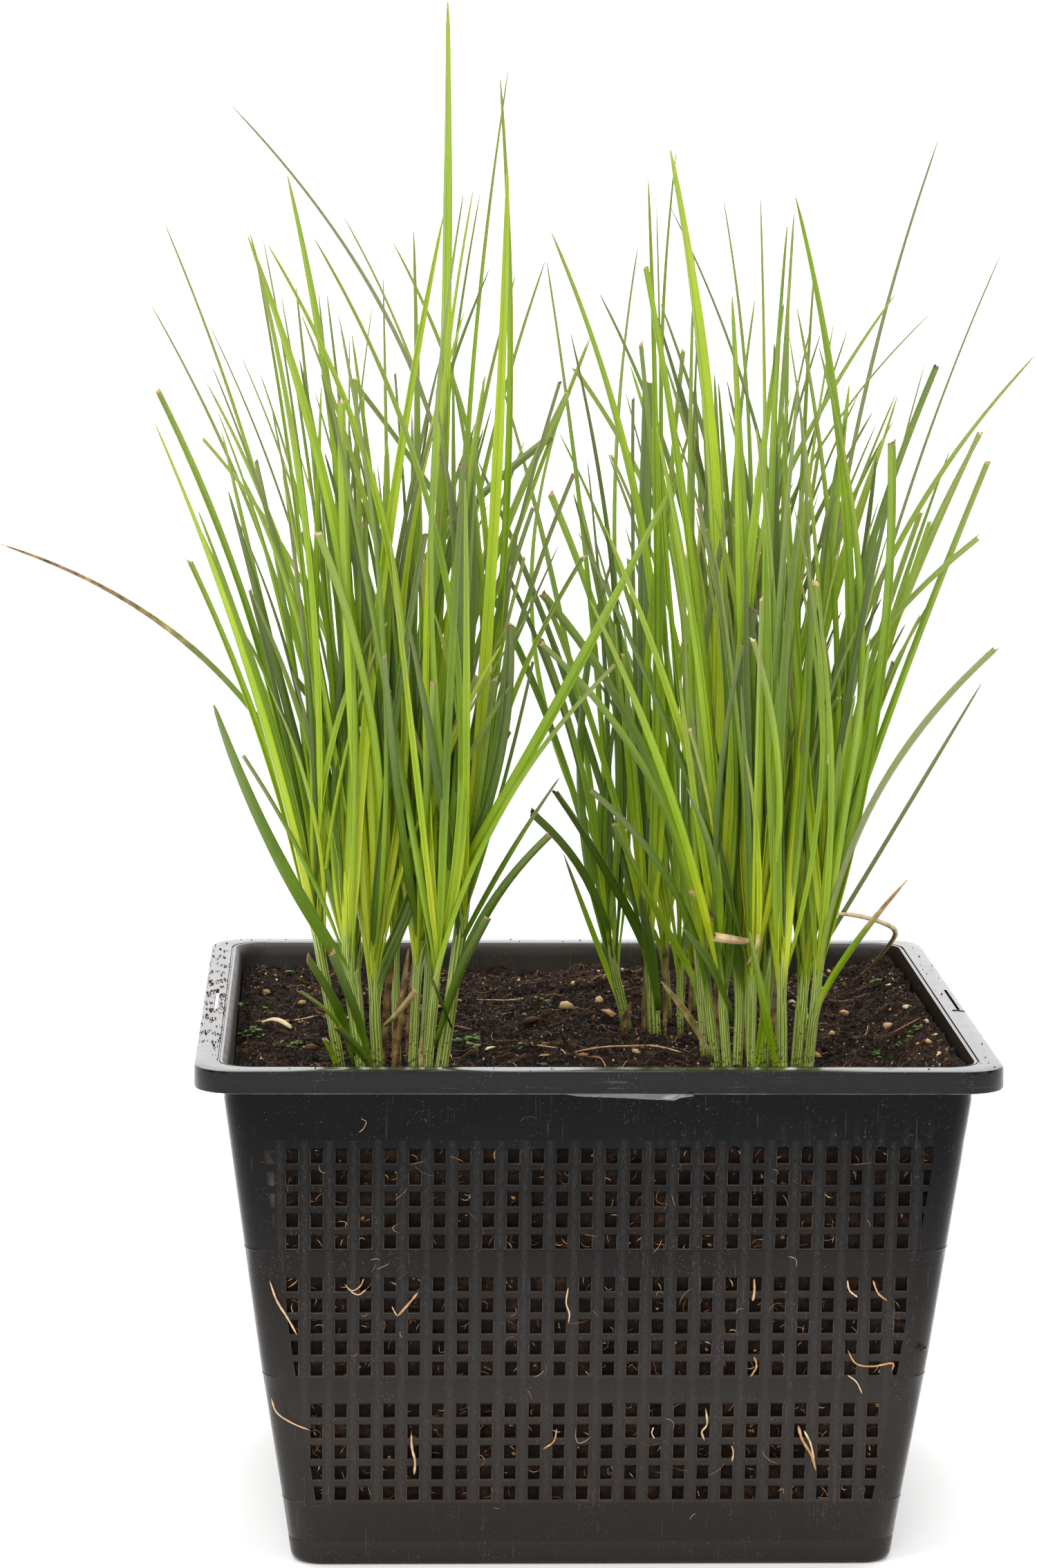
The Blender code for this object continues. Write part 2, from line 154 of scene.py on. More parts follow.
def close_mesh(name, bm, sharp_degrees=None):
    """The mesh of a bmesh, shaded smooth up to an angle."""
    mesh = bpy.data.meshes.new(name)
    bm.to_mesh(mesh)
    bm.free()
    mesh.shade_smooth()
    if sharp_degrees:
        mesh.set_sharp_from_angle(angle=math.radians(sharp_degrees))
    return mesh


def grid_in_order(bm, across, along):
    """A grid's vertices as rows of (across + 1), so that they can be set by place."""
    made = bmesh.ops.create_grid(bm, x_segments=across, y_segments=along, size=1.0)["verts"]
    return sorted(made, key=lambda vert: (round(vert.co.y * along), round(vert.co.x * across)))


def place_grid(bm, points):
    """A grid laid through points given as rows and columns."""
    rows, columns = points.shape[:2]
    verts = grid_in_order(bm, columns - 1, rows - 1)
    for vert, point in zip(verts, points.reshape(-1, 3)):
        vert.co = point
    return verts


def triangles_of(bm):
    """Corner places and triangles of a small closed shape."""
    bmesh.ops.triangulate(bm, faces=bm.faces)
    bmesh.ops.recalc_face_normals(bm, faces=bm.faces)
    bm.verts.index_update()
    corners = np.array([vert.co[:] for vert in bm.verts])
    faces = np.array([[vert.index for vert in face.verts] for face in bm.faces])
    bm.free()
    return corners, faces


def join_copies(name, copies, faces, smooth=True, **attributes):
    """One mesh from many copies of a small shape, with a value for each copy."""
    count, corners = copies.shape[:2]
    all_faces = (faces[None] + np.arange(count)[:, None, None] * corners).reshape(-1, 3)
    mesh = bpy.data.meshes.new(name)
    mesh.vertices.add(count * corners)
    mesh.vertices.foreach_set("co", copies.astype(np.float32).ravel())
    mesh.loops.add(all_faces.size)
    mesh.loops.foreach_set("vertex_index", all_faces.astype(np.int32).ravel())
    mesh.polygons.add(len(all_faces))
    mesh.polygons.foreach_set("loop_start", np.arange(0, all_faces.size, 3, dtype=np.int32))
    mesh.update(calc_edges=True)
    for title, values in attributes.items():
        layer = mesh.attributes.new(title, "FLOAT", "POINT")
        layer.data.foreach_set("value", np.repeat(values, corners).astype(np.float32))
    if smooth:
        mesh.shade_smooth()
    return mesh


def random_turns(source, count):
    """Evenly random turns, as matrices."""
    w, x, y, z = unit(source.normal(size=(count, 4))).T
    return np.array((
        (1 - 2 * (y * y + z * z), 2 * (x * y - z * w), 2 * (x * z + y * w)),
        (2 * (x * y + z * w), 1 - 2 * (x * x + z * z), 2 * (y * z - x * w)),
        (2 * (x * z - y * w), 2 * (y * z + x * w), 1 - 2 * (x * x + y * y)),
    )).transpose(2, 0, 1)


def make_lumps(count, roughness, seed, tiny=False):
    """Unlike small lumps, all with the same faces: eight for tiny ones, twenty for others."""
    shapes = []
    for kind in range(count):
        bm = bmesh.new()
        if tiny:
            bmesh.ops.create_uvsphere(bm, u_segments=4, v_segments=2, radius=1.0)
        else:
            bmesh.ops.create_icosphere(bm, subdivisions=1, radius=1.0)
        corners, faces = triangles_of(bm)
        for corner in corners:
            spot = Vector(corner) * 1.3 + Vector((seed, kind * 7.0, 0.0))
            corner *= 1 + roughness * noise.noise(spot)
        shapes.append(corners)
    return np.array(shapes), faces


def scatter_lumps(name, lumps, places, sizes, **attributes):
    """Copies of lumps at places, each with its own size and turn."""
    shapes, faces = lumps
    count = len(places)
    kinds = SOIL_RANDOM.integers(0, len(shapes), count)
    stretch = SOIL_RANDOM.uniform(0.6, 1.25, (count, 1, 3)) * sizes[:, None, None] / 2
    turned = np.einsum("nij,nvj->nvi", random_turns(SOIL_RANDOM, count), shapes[kinds] * stretch)
    return join_copies(name, turned + places[:, None], faces, smooth=False, **attributes)


def make_strand(sides, rows):
    """A pointed strand: for each corner its row and its direction round, and the faces."""
    bm = bmesh.new()
    angle = np.linspace(0, 2 * math.pi, sides + 1)
    level = np.arange(rows)
    reach = np.where((level == 0) | (level == rows - 1), 0.0, 1.0)
    points = np.zeros((rows, sides + 1, 3))
    points[..., 0] = reach[:, None] * np.cos(angle)
    points[..., 1] = reach[:, None] * np.sin(angle)
    points[..., 2] = level[:, None]
    place_grid(bm, points)
    bmesh.ops.remove_doubles(bm, verts=bm.verts, dist=1e-4)
    corners, faces = triangles_of(bm)
    return corners[:, 2].round().astype(int), corners[:, :2], faces


def join_strands(name, paths, radii, sides, **attributes):
    """Many thin strands along paths (strand, row, place), with a radius for each row."""
    rows = paths.shape[1]
    level, turn, faces = make_strand(sides, rows)
    along = unit(np.gradient(paths, axis=1) + 1e-9)
    first = unit(np.cross(along, (0.31, 0.17, 0.93)))
    second = np.cross(along, first)
    copies = (
        paths[:, level]
        + first[:, level] * (turn[:, 0] * radii[:, level])[..., None]
        + second[:, level] * (turn[:, 1] * radii[:, level])[..., None]
    )
    return join_copies(name, copies, faces, **attributes)


def curve_through(points, count):
    """Even points on a smooth curve through a few points, in metres."""
    points = np.array(points, float)
    ends = np.vstack((2 * points[0] - points[1], points, 2 * points[-1] - points[-2]))
    made = []
    for step in np.linspace(0, len(points) - 1, count):
        i = min(int(step), len(points) - 2)
        t = step - i
        a, b, c, d = ends[i:i + 4]
        made.append(0.5 * (2 * b + (c - a) * t + (2 * a - 5 * b + 4 * c - d) * t ** 2
                           + (3 * b - a - 3 * c + d) * t ** 3))
    return np.array(made)


# Materials

SKIRT_FOOT = 175.5 * MM
# Sockets of the Mix node when it mixes colours
MIX_A, MIX_B = 6, 7
MIXED = {"data_type": "RGBA", "out": 2}


def linear(hex_colour):
    """An sRGB hex colour as the linear colour that shaders take."""
    parts = [int(hex_colour[i:i + 2], 16) / 255 for i in (1, 3, 5)]
    parts = [c / 12.92 if c <= 0.04045 else ((c + 0.055) / 1.055) ** 2.4 for c in parts]
    return (*parts, 1.0)


def fill_inputs(node, inputs):
    """Sockets linked to a node's inputs, and values and hex colours set on them."""
    for name, value in (inputs if isinstance(inputs, dict) else dict(enumerate(inputs))).items():
        if isinstance(value, bpy.types.NodeSocket):
            node.id_data.links.new(value, node.inputs[name])
        else:
            node.inputs[name].default_value = linear(value) if isinstance(value, str) else value


def add_node(tree, kind, inputs=(), out=0, stops=(), **settings):
    """One output of a new shader node with its settings, its inputs and the stops of its ramp."""
    node = tree.nodes.new("ShaderNode" + kind)
    for name, value in settings.items():
        setattr(node, name, value)
    fill_inputs(node, inputs)
    for number, (place, colour) in enumerate(stops):
        elements = node.color_ramp.elements
        element = elements[number] if number < 2 else elements.new(place)
        element.position = place
        element.color = linear(colour)
    return node.outputs[out]


def new_material(name):
    """A material, its shader, a way to add nodes to it, and the place that is shaded."""
    material = bpy.data.materials.new(name)
    material.use_nodes = True
    node = partial(add_node, material.node_tree)
    place = node("TexCoord", out="Object")
    return material, material.node_tree.nodes["Principled BSDF"], node, place


def hole_pattern(node, place):
    """A place on a wall: how far along, from a rib and outside a hole it is, and if in the field."""
    x, y, height = (node("SeparateXYZ", (place,), out=axis) for axis in "XYZ")
    size_x, size_y = (node("Math", (axis,), operation="ABSOLUTE") for axis in (x, y))
    on_side = node("Math", (size_x, size_y), operation="GREATER_THAN")
    apart = node("Math", (y, x), operation="SUBTRACT")
    across = node("Math", (apart, on_side, x), operation="MULTIPLY_ADD")
    from_rib = node("Math", (across, COLUMN_PITCH / 2), operation="PINGPONG")
    lifted = node("Math", (height, ROW_PITCH / 2 - TOP_ROW_HEIGHT))
    from_gap = node("Math", (lifted, ROW_PITCH / 2), operation="PINGPONG")
    beside = node("Math", ((COLUMN_PITCH - HOLE_WIDTH) / 2, from_rib), operation="SUBTRACT")
    above = node("Math", ((ROW_PITCH - HOLE_HEIGHT) / 2, from_gap), operation="SUBTRACT")
    outside = node("Math", (beside, above), operation="MAXIMUM")
    # The field stops short of the wall's corners
    larger = node("Math", (size_x, size_y), operation="MAXIMUM")
    smaller = node("Math", (size_x, size_y), operation="MINIMUM")
    margin = node("Math", (larger, smaller), operation="SUBTRACT")
    return across, from_rib, outside, node("MapRange", (margin, RIGHT_MARGIN, RIGHT_MARGIN + 2 * MM))


# Heights on the wall: the lowest and highest row's edges, and the pale smears over the top row
FIELD_FOOT, FIELD_TOP = 23.7 * MM, 157.0 * MM
SMEAR_FOOT, SMEAR_FULL, SMEAR_END = 153.0 * MM, 154.0 * MM, 167.0 * MM


def add_hole_marks(node, place, height, drift, under):
    """Tan dust and a painted highlight on the lips of the holes, ribs paler at their middles as painted
    highlight and rubbing, and pale smears over the top row.
    """
    across, from_rib, outside, clear = hole_pattern(node, place)
    # Rows 5 and 11, and the rows that would come above and below the field, have no holes
    from_solid = node("Math", (height, ROW_PITCH * SOLID_ROWS[0] - TOP_ROW_HEIGHT))
    spacing = ROW_PITCH * (SOLID_ROWS[1] - SOLID_ROWS[0]) / 2
    from_solid = node("Math", (from_solid, spacing), operation="PINGPONG")
    open_row = node("Math", (from_solid, 4.0 * MM), operation="GREATER_THAN")
    below_top = node("Math", (height, FIELD_TOP), operation="LESS_THAN")
    above_foot = node("Math", (height, FIELD_FOOT), operation="GREATER_THAN")
    patchy = node("MapRange", (drift, 0.3, 0.65))
    # Paler hole lips: partly tan dust, partly a painted highlight on their rounded edges
    lip_dust_and_highlight = node("MapRange", (outside, 0.0, 0.36 * MM, 0.34, 0.0))
    for part in (open_row, below_top, above_foot, clear, patchy):
        lip_dust_and_highlight = node("Math", (lip_dust_and_highlight, part), operation="MULTIPLY")
    dust_and_lip_highlight = node("Mix", {0: lip_dust_and_highlight, MIX_A: under, MIX_B: "#7E6C5C"}, **MIXED)
    # Ribs between the columns, paler at their middles in fine upright streaks: a painted highlight on
    # their rounded faces, and rubbing
    streaks = node("Mapping", {"Vector": place, "Scale": (3800.0, 3800.0, 90.0)})
    streak = node("TexNoise", {"Vector": streaks, "Scale": 1.0, "Detail": 2.0})
    rubbed = node("MapRange", (streak, 0.4, 0.7, 0.02, 0.17))
    rib = node("MapRange", (from_rib, 0.3 * MM, 1.7 * MM, 1.0, 0.1))
    for part in (rubbed, below_top, above_foot, clear):
        rib = node("Math", (rib, part), operation="MULTIPLY")
    ribbed = node("Mix", {0: rib, MIX_A: dust_and_lip_highlight, MIX_B: "#62605F"}, **MIXED)
    # Pale smears where leaves and fingers rubbed over the top row, more to the right
    smear = node("MapRange", (height, SMEAR_FULL, SMEAR_END, 0.45, 0.0))
    column = node("MapRange", (from_rib, 2.6 * MM, 4.0 * MM))
    rightward = node("MapRange", (across, 0.0, 60.0 * MM))
    over = node("Math", (height, SMEAR_FOOT), operation="GREATER_THAN")
    for part in (column, rightward, over, rubbed, patchy, clear):
        smear = node("Math", (smear, part), operation="MULTIPLY")
    return node("Mix", {0: smear, MIX_A: ribbed, MIX_B: "#9A9C9E"}, **MIXED)


def make_polypropylene(name, height_stops, roughness, shine, coat=(0.0, 1.5), meshed=False,
                       edged=False):
    """Black polypropylene, injection moulded: satin, with scuffs and tan dust; on a meshed wall, its hole
    lips and rib middles are paler, partly as painted highlight.

    Its colour changes with height: the wall is lighter and browner towards its foot, a painted reflection
    of the floor. The coat is a weight and an index of refraction.
    """
    material, shader, node, place = new_material(name)
    lift = node("SeparateXYZ", (place,), out="Z")
    cloud = node("TexNoise", {"Vector": place, "Scale": 14.0, "Detail": 4.0})
    height = node("MapRange", (lift, 0.0, RIM_HEIGHT))
    uneven = node("Math", (cloud, 0.22, height), operation="MULTIPLY_ADD")
    # Colour by height; on the wall, the lighter and browner foot is a painted reflection of the floor
    base = node("ValToRGB", (uneven,), stops=height_stops)
    # Dust: fine specks about 0.4 mm across, gathered in drifts
    speck = node("TexNoise", {"Vector": place, "Scale": 1500.0, "Detail": 2.0})
    drift = node("TexNoise", {"Vector": place, "Scale": 60.0, "Detail": 5.0, "Roughness": 0.65})
    sifted = node("Math", (drift, 0.4, speck), operation="MULTIPLY_ADD")
    dust = node("MapRange", (sifted, 0.88, 0.94, 0.0, 0.3))
    dusty = node("Mix", {0: dust, MIX_A: base, MIX_B: "#82705E"}, **MIXED)
    # Scratches: long thin pale marks
    fine = (60.0, 60.0, 1500.0) if edged else (1500.0, 60.0, 60.0)
    stretch = node("Mapping", {"Vector": place, "Scale": fine})
    scratch = node("TexNoise", {"Vector": stretch, "Scale": 1.0, "Detail": 1.0})
    scuffed = node("Math", (drift, 0.3, scratch), operation="MULTIPLY_ADD")
    marks = node("MapRange", (scuffed, 0.86, 0.94, 0.0, 0.14))
    painted = node("Mix", {0: marks, MIX_A: dusty, MIX_B: "#77797B"}, **MIXED)
    if edged:
        # The moulding line along the skirt's lower edge is worn pale in places
        wear = node("MapRange", (lift, SKIRT_FOOT, SKIRT_FOOT + 0.3 * MM, 1.0, 0.0))
        worn = node("MapRange", (drift, 0.4, 0.62, 0.2, 0.75))
        above_wall = node("Math", (lift, SKIRT_FOOT - 0.2 * MM), operation="GREATER_THAN")
        for part in (worn, above_wall):
            wear = node("Math", (wear, part), operation="MULTIPLY")
        painted = node("Mix", {0: wear, MIX_A: painted, MIX_B: "#9B9C9E"}, **MIXED)
    if meshed:
        painted = add_hole_marks(node, place, lift, drift, painted)
    rough = node("MapRange", (drift, 0.35, 0.65, *roughness))
    # Spark-eroded mould texture, about 0.3 mm
    grain = node("TexNoise", {"Vector": place, "Scale": 2600.0, "Detail": 1.0})
    fill_inputs(shader, {
        "Base Color": painted, "IOR": 1.49, "Specular IOR Level": shine,
        "Roughness": node("Math", (rough, dust), operation="MAXIMUM"),
        "Coat Weight": coat[0], "Coat IOR": coat[1], "Coat Roughness": 0.2,
        "Normal": node("Bump", {"Strength": 0.2, "Distance": 0.04 * MM, "Height": grain}),
    })
    return material


def make_natural(name, roughness, grain, stops, clods=None, spread=None, bump=None, shine=0.5):
    """A matt natural material: coloured by its grain, and by each piece's own tone if spread.

    The grain and the clods are each a pattern's scale, detail and roughness.
    """
    material, shader, node, place = new_material(name)
    patterns = []
    for pattern in (grain, clods) if clods else (grain,):
        wanted = dict(zip(("Scale", "Detail", "Roughness"), pattern))
        patterns.append(node("TexNoise", {"Vector": place, **wanted}))
    mottle = shade = patterns[0]
    if clods:
        shade = node("Math", patterns, operation="MULTIPLY")
    if spread:
        tone = node("Attribute", out="Fac", attribute_name="tone")
        shade = node("Math", (tone, node("MapRange", (mottle, 0.0, 1.0, -spread, spread))))
    if bump:
        strength, depth = bump
        raised = node("Bump", {"Strength": strength, "Distance": depth, "Height": mottle})
        fill_inputs(shader, {"Normal": raised})
    colour = node("ValToRGB", (shade,), stops=stops)
    fill_inputs(shader, {
        "Base Color": colour, "Roughness": roughness, "IOR": 1.45, "Specular IOR Level": shine,
    })
    return material


LEAF_GLOW = 0.25
LEAF_GLOW_DEPTH = 1.2 * MM
# Soil splashed on the leaves' feet: thickest at the first height, gone at the second
SPLASH_HEIGHTS = (170.0 * MM, 194.0 * MM)


def make_sedge():
    """Living sedge leaf: ribbed along its length, satin, and glowing a little in the light.

    tone runs from dark (0) to lime (1), sheath is 1 on the pale striped sheaths, dry is 1 on
    tan cut ends and dead leaves, fade is the share of grey green, across is -1 to 1 over the blade.
    """
    material, shader, node, place = new_material("living_sedge_leaf")
    tone, sheath, dry, across, fade = (
        node("Attribute", out="Fac", attribute_name=name)
        for name in ("tone", "sheath", "dry", "across", "fade")
    )
    # Ribs: about four to each side of the blade, drawn a little coarse
    ribs = node("Math", (across, 27.0), operation="MULTIPLY")
    wander = node("TexNoise", {"Vector": place, "Scale": 90.0, "Detail": 2.0})
    shifted = node("Math", (wander, 5.0, ribs), operation="MULTIPLY_ADD")
    wave = node("Math", (shifted,), operation="SINE")
    stripe = node("MapRange", (wave, -1.0, 1.0))
    # Green by tone, with slow changes along the leaf
    cloud = node("TexNoise", {"Vector": place, "Scale": 22.0, "Detail": 3.0})
    toned = node("Math", (tone, node("MapRange", (cloud, 0.0, 1.0, -0.16, 0.16))))
    ribbed = node("Math", (stripe, -0.16, toned), operation="MULTIPLY_ADD")
    green = node("ValToRGB", (ribbed,), stops=(
        (0.0, "#34450F"), (0.26, "#56701A"), (0.48, "#7F9C12"), (0.74, "#A8B91A"), (1.0, "#C0C83A"),
    ))
    # A fine darker line along the middle of each blade: painted shade in its groove
    middle = node("Math", (across,), operation="ABSOLUTE")
    groove = node("MapRange", (middle, 0.03, 0.12, 0.45, 0.0))
    # Sheaths: pale green with white-green lines and dark furrows
    pale = node("ValToRGB", (stripe,), stops=(
        (0.05, "#617B1E"), (0.3, "#84992F"), (0.55, "#9AAF42"), (0.92, "#BBCB78"),
    ))
    # Dry and torn parts
    mottle = node("TexNoise", {"Vector": place, "Scale": 240.0, "Detail": 4.0})
    paler = node("Math", (tone, 0.42), operation="MULTIPLY")
    withered = node("Math", (mottle, 0.5, paler), operation="MULTIPLY_ADD")
    tan = node("ValToRGB", (withered,), stops=(
        (0.3, "#4C3A25"), (0.43, "#9A7A50"), (0.58, "#D8BF92"),
    ))
    # Soil splashed on the feet
    lift = node("SeparateXYZ", (place,), out="Z")
    low = node("MapRange", (lift, *SPLASH_HEIGHTS, 0.60, 0.40))
    fleck = node("TexNoise", {"Vector": place, "Scale": 900.0, "Detail": 3.0, "Roughness": 0.6})
    splash = node("Math", (fleck, low), operation="MULTIPLY")
    soiled = node("MapRange", (splash, 0.30, 0.335, 0.0, 0.85))
    # Each colour laid over the ones before it; long fine tips fade to a dry grey green
    colour = green
    for share, laid in ((groove, "#3C5214"), (fade, "#7B765A"), (sheath, pale), (dry, tan),
                        (soiled, "#4A3425")):
        colour = node("Mix", {0: share, MIX_A: colour, MIX_B: laid}, **MIXED)
    fill_inputs(shader, {
        "Base Color": colour, "Roughness": 0.36, "IOR": 1.42, "Specular IOR Level": 0.46,
        "Normal": node("Bump", {"Strength": 0.5, "Distance": 0.12 * MM, "Height": stripe}),
        "Subsurface Weight": node("MapRange", (dry, 0.0, 1.0, LEAF_GLOW, 0.0)),
        "Subsurface Radius": (0.8, 1.0, 0.3), "Subsurface Scale": LEAF_GLOW_DEPTH,
    })
    return material


# Colours by height run from the foot (0.11) to the rim (1.11), with the cloud's share added.
# The wall: black above, lighter and browner below as a painted reflection of the floor, with a weak sheen
# that grows bright at its outline
polypropylene = make_polypropylene(
    "moulded_black_polypropylene",
    ((0.11, "#2C2826"), (1.11, "#050506"), (0.46, "#2C2927"), (0.72, "#1D1B1A"), (0.98, "#080809")),
    (0.2, 0.32), 0.01, coat=(1.0, 1.17), meshed=True,
)
# The flange: smooth, with clear reflections; a lit copy of the black plastic, its lighter base and strong
# shine a painted reflection of the white backdrop
lit_glossy_flange = make_polypropylene(
    "lit_glossy_black_polypropylene", ((0.6, "#181818"), (1.2, "#1A1A1B")), (0.13, 0.22), 0.8,
)
# The skirt: satin, its moulding line worn pale; a darker copy of the black plastic, also laid on the
# rim's steeper faces as painted shade
shaded_satin_skirt = make_polypropylene(
    "shaded_satin_black_polypropylene", ((0.6, "#0A0A0A"), (1.2, "#0B0B0C")), (0.16, 0.26), 0.14,
    coat=(0.12, 1.5), edged=True,
)
# The inside above the soil: dull and brownish with dry dust, its lighter base partly painted light from
# above and in front
dusty_lit_inside = make_polypropylene(
    "dusty_lit_black_polypropylene", ((0.6, "#2A231F"), (1.2, "#2E2824")), (0.35, 0.5), 0.3,
)
# The inside at the right: smeared with wet soil, and darker and without shine as painted shade
shaded_smeared_inside = make_polypropylene(
    "shaded_soil_smeared_polypropylene", ((0.6, "#1E1814"), (1.2, "#221C18")), (0.5, 0.65), 0.0,
)
# Torn plastic: whitened where it was bent
whitened_plastic = make_polypropylene(
    "stress_whitened_polypropylene", ((0.6, "#3C3C3D"), (1.2, "#5A5A5B")), (0.2, 0.3), 0.6,
)
# Moist potting peat: very dark brown, crumbly, with paler fibres and dust
peat = make_natural(
    "moist_peat", 0.9, (420.0, 6.0, 0.7),
    ((0.15, "#080402"), (0.27, "#1B0F07"), (0.41, "#3C2719"), (0.51, "#7A5336")),
    clods=(70.0, 4.0, 0.6), bump=(0.9, 1.2 * MM), shine=0.3,
)
# Loose crumbs: peat, bark, grit and perlite, told apart by each one's own tone
crumb_mix = make_natural(
    "loose_peat_and_grit", 0.88, (900.0, 4.0, 0.7),
    ((0.0, "#0D0704"), (0.3, "#2C1B11"), (0.52, "#5C3E29"), (0.74, "#8E6A47"), (0.86, "#BE9562"),
     (1.0, "#DDCDA8")),
    spread=0.09, bump=(0.6, 0.4 * MM), shine=0.3,
)
# Dry roots and plant fibre: tan to brown, matt, told apart by each one's own tone
fibre = make_natural(
    "dry_root_fibre", 0.75, (500.0, 3.0),
    ((0.0, "#2A1C12"), (0.45, "#6E4C30"), (0.75, "#B48355"), (1.0, "#DCC29A")), spread=0.25,
)
# Cushion moss and seed leaves: soft matt green, mottled paler and darker
moss = make_natural(
    "moss_and_seed_leaves", 0.7, (350.0, 3.0), ((0.3, "#35461B"), (0.55, "#5B7629"), (0.75, "#8A9E48")),
)
sedge = make_sedge()


# Basket


def wall_half(height):
    """Half width of the basket's outer wall at a height."""
    bow = WALL_BOW * np.interp(height, BOW_HEIGHTS, BOW_SHARES)
    return BASE_HALF + (WALL_TOP_HALF - BASE_HALF) * height / RIM_HEIGHT + bow


def row_height(row):
    """Height of the middle of a row of holes, counted down from the top one."""
    return TOP_ROW_HEIGHT - row * ROW_PITCH


def wall_station(height, inner_height=None, stand=0.0):
    """The outer and inner skins of the wall at one height."""
    inner_height = height if inner_height is None else inner_height
    return (
        (wall_half(height) + stand, height, WALL_CORNER),
        (wall_half(inner_height) - WALL, inner_height, WALL_CORNER - WALL),
    )


def stations_of(rows):
    """Outer and inner skins from rows in millimetres: half size, height and corner of each."""
    return [(tuple(np.array(row[:3]) * MM), tuple(np.array(row[3:]) * MM)) for row in rows]


# The floor and the curve up to the wall
FLOOR_CORNER, FLOOR_THICKNESS = 0.085, 2.0
FLOOR_ROWS = [
    (half, 0.0, FLOOR_CORNER * half, half, FLOOR_THICKNESS, FLOOR_CORNER * half)
    for half in (45.5, 50.5, 69.5, 74.5, 96.0)
]
FLOOR_ROWS += [
    (104.2, 0.0, 9.0, 103.4, 2.0, 8.2), (105.5, 0.35, 10.2, 104.5, 2.2, 9.0),
    (106.45, 1.3, 11.0, 105.1, 2.8, 9.6), (106.84, 2.6, 11.4, 105.3, 3.8, 9.8),
]
# A fine groove round the foot of the wall: heights, and how far it stands out there
FOOT_GROOVE = ((8.2, 0.0), (8.5, -0.15), (9.1, -0.15), (9.4, 0.0))
# Small foot under each band of holes: below the holes, standing proud, both in millimetres
BAND_FOOT = ((1.5, 0.0), (1.2, 0.16), (0.8, 0.16), (0.5, 0.0))
# The plain top of the wall, above the holes
PLAIN_HEIGHTS = (160.0, 170.0, 178.0)
# The flange, with a fine groove beside its inner edge, and the skirt
RIM_ROWS = (
    (129.87, 180.3, 11.4, 128.5, 180.6, 9.8), (130.05, 181.1, 11.4, 128.95, 181.7, 10.0),
    (130.55, 181.7, 11.7, 129.6, 182.6, 10.5), (131.0, 181.8, 12.0, 130.4, 183.35, 11.0),
    (131.4, 181.9, 12.2, 131.2, 183.5, 11.6), (131.8, 181.9, 12.3, 131.45, 183.05, 11.7),
    (132.2, 181.9, 12.4, 131.85, 183.05, 12.0), (132.6, 181.9, 12.6, 132.1, 183.5, 12.2),
    (134.7, 181.9, 13.0, 134.7, 183.5, 12.8), (135.8, 181.9, 13.2, 135.8, 183.5, 13.0),
    (137.4, 181.9, 13.4, 138.5, 183.5, 13.5), (138.0, 181.7, 13.4, 139.4, 183.2, 14.4),
    (138.4, 181.0, 13.4, 139.9, 182.5, 14.9), (138.4, 176.0, 13.4, 140.0, 176.1, 15.0),
    (138.7, 175.5, 13.7, 139.7, 175.5, 14.7),
)


def basket_stations():
    """Rows of the basket from the middle of its floor, up its wall and out to the skirt."""
    rows = stations_of(FLOOR_ROWS)
    rows += [wall_station(height * MM, stand=stand * MM) for height, stand in FOOT_GROOVE]
    hole_rows = {}
    for row in reversed(range(ROW_COUNT)):
        if row in SOLID_ROWS:
            continue
        low, high = row_height(row) - HOLE_HEIGHT / 2, row_height(row) + HOLE_HEIGHT / 2
        if row + 1 in (*SOLID_ROWS, ROW_COUNT):
            rows += [wall_station(low - below * MM, stand=stand * MM) for below, stand in BAND_FOOT]
        hole_rows[len(rows)] = row
        rows += [wall_station(low), wall_station(high + HOLE_TOP_SLOPE, high)]
    rows += [wall_station(height * MM) for height in PLAIN_HEIGHTS]
    return rows + stations_of(RIM_ROWS), hole_rows


STATIONS, HOLE_ROWS = basket_stations()
TOP_HOLE_ROW = max(HOLE_ROWS)
FLOOR_SLOT_ROWS, FLOOR_SLOT_REACH = (0, 2), 28.5 * MM
FLANGE_SLOT_ROW = len(STATIONS) - 7
FIRST_RIM_ROW = len(STATIONS) - 14
HOLE_LINES = [
    (column + 0.5) * COLUMN_PITCH + side * HOLE_WIDTH / 2
    for column in range(FIRST_COLUMN, LAST_COLUMN + 1) for side in (-1, 1)
]
LINES_A_SIDE = len(HOLE_LINES) + 1 + CORNER_STEPS
# Flange slots: side of the basket, and the first and last line that each one spans
LEFT_SIDE, RIGHT_SIDE = 3, 1
FLANGE_SLOTS = {LEFT_SIDE: (-24.5 * MM, 17.6 * MM), RIGHT_SIDE: (-18.2 * MM, 21.5 * MM)}
# The right-hand slot lies further out: how far, on the underside and on the top, and how far
# past the slot's ends
SLOT_SHIFTS = (1.3 * MM, 1.8 * MM)
SHIFT_REACH = 4 * MM


def is_arch(side, across, row):
    """Whether a place is on the top edge of an arched hole."""
    return side == 0 and row == TOP_HOLE_ROW + 1 and across > ARCHES_FROM


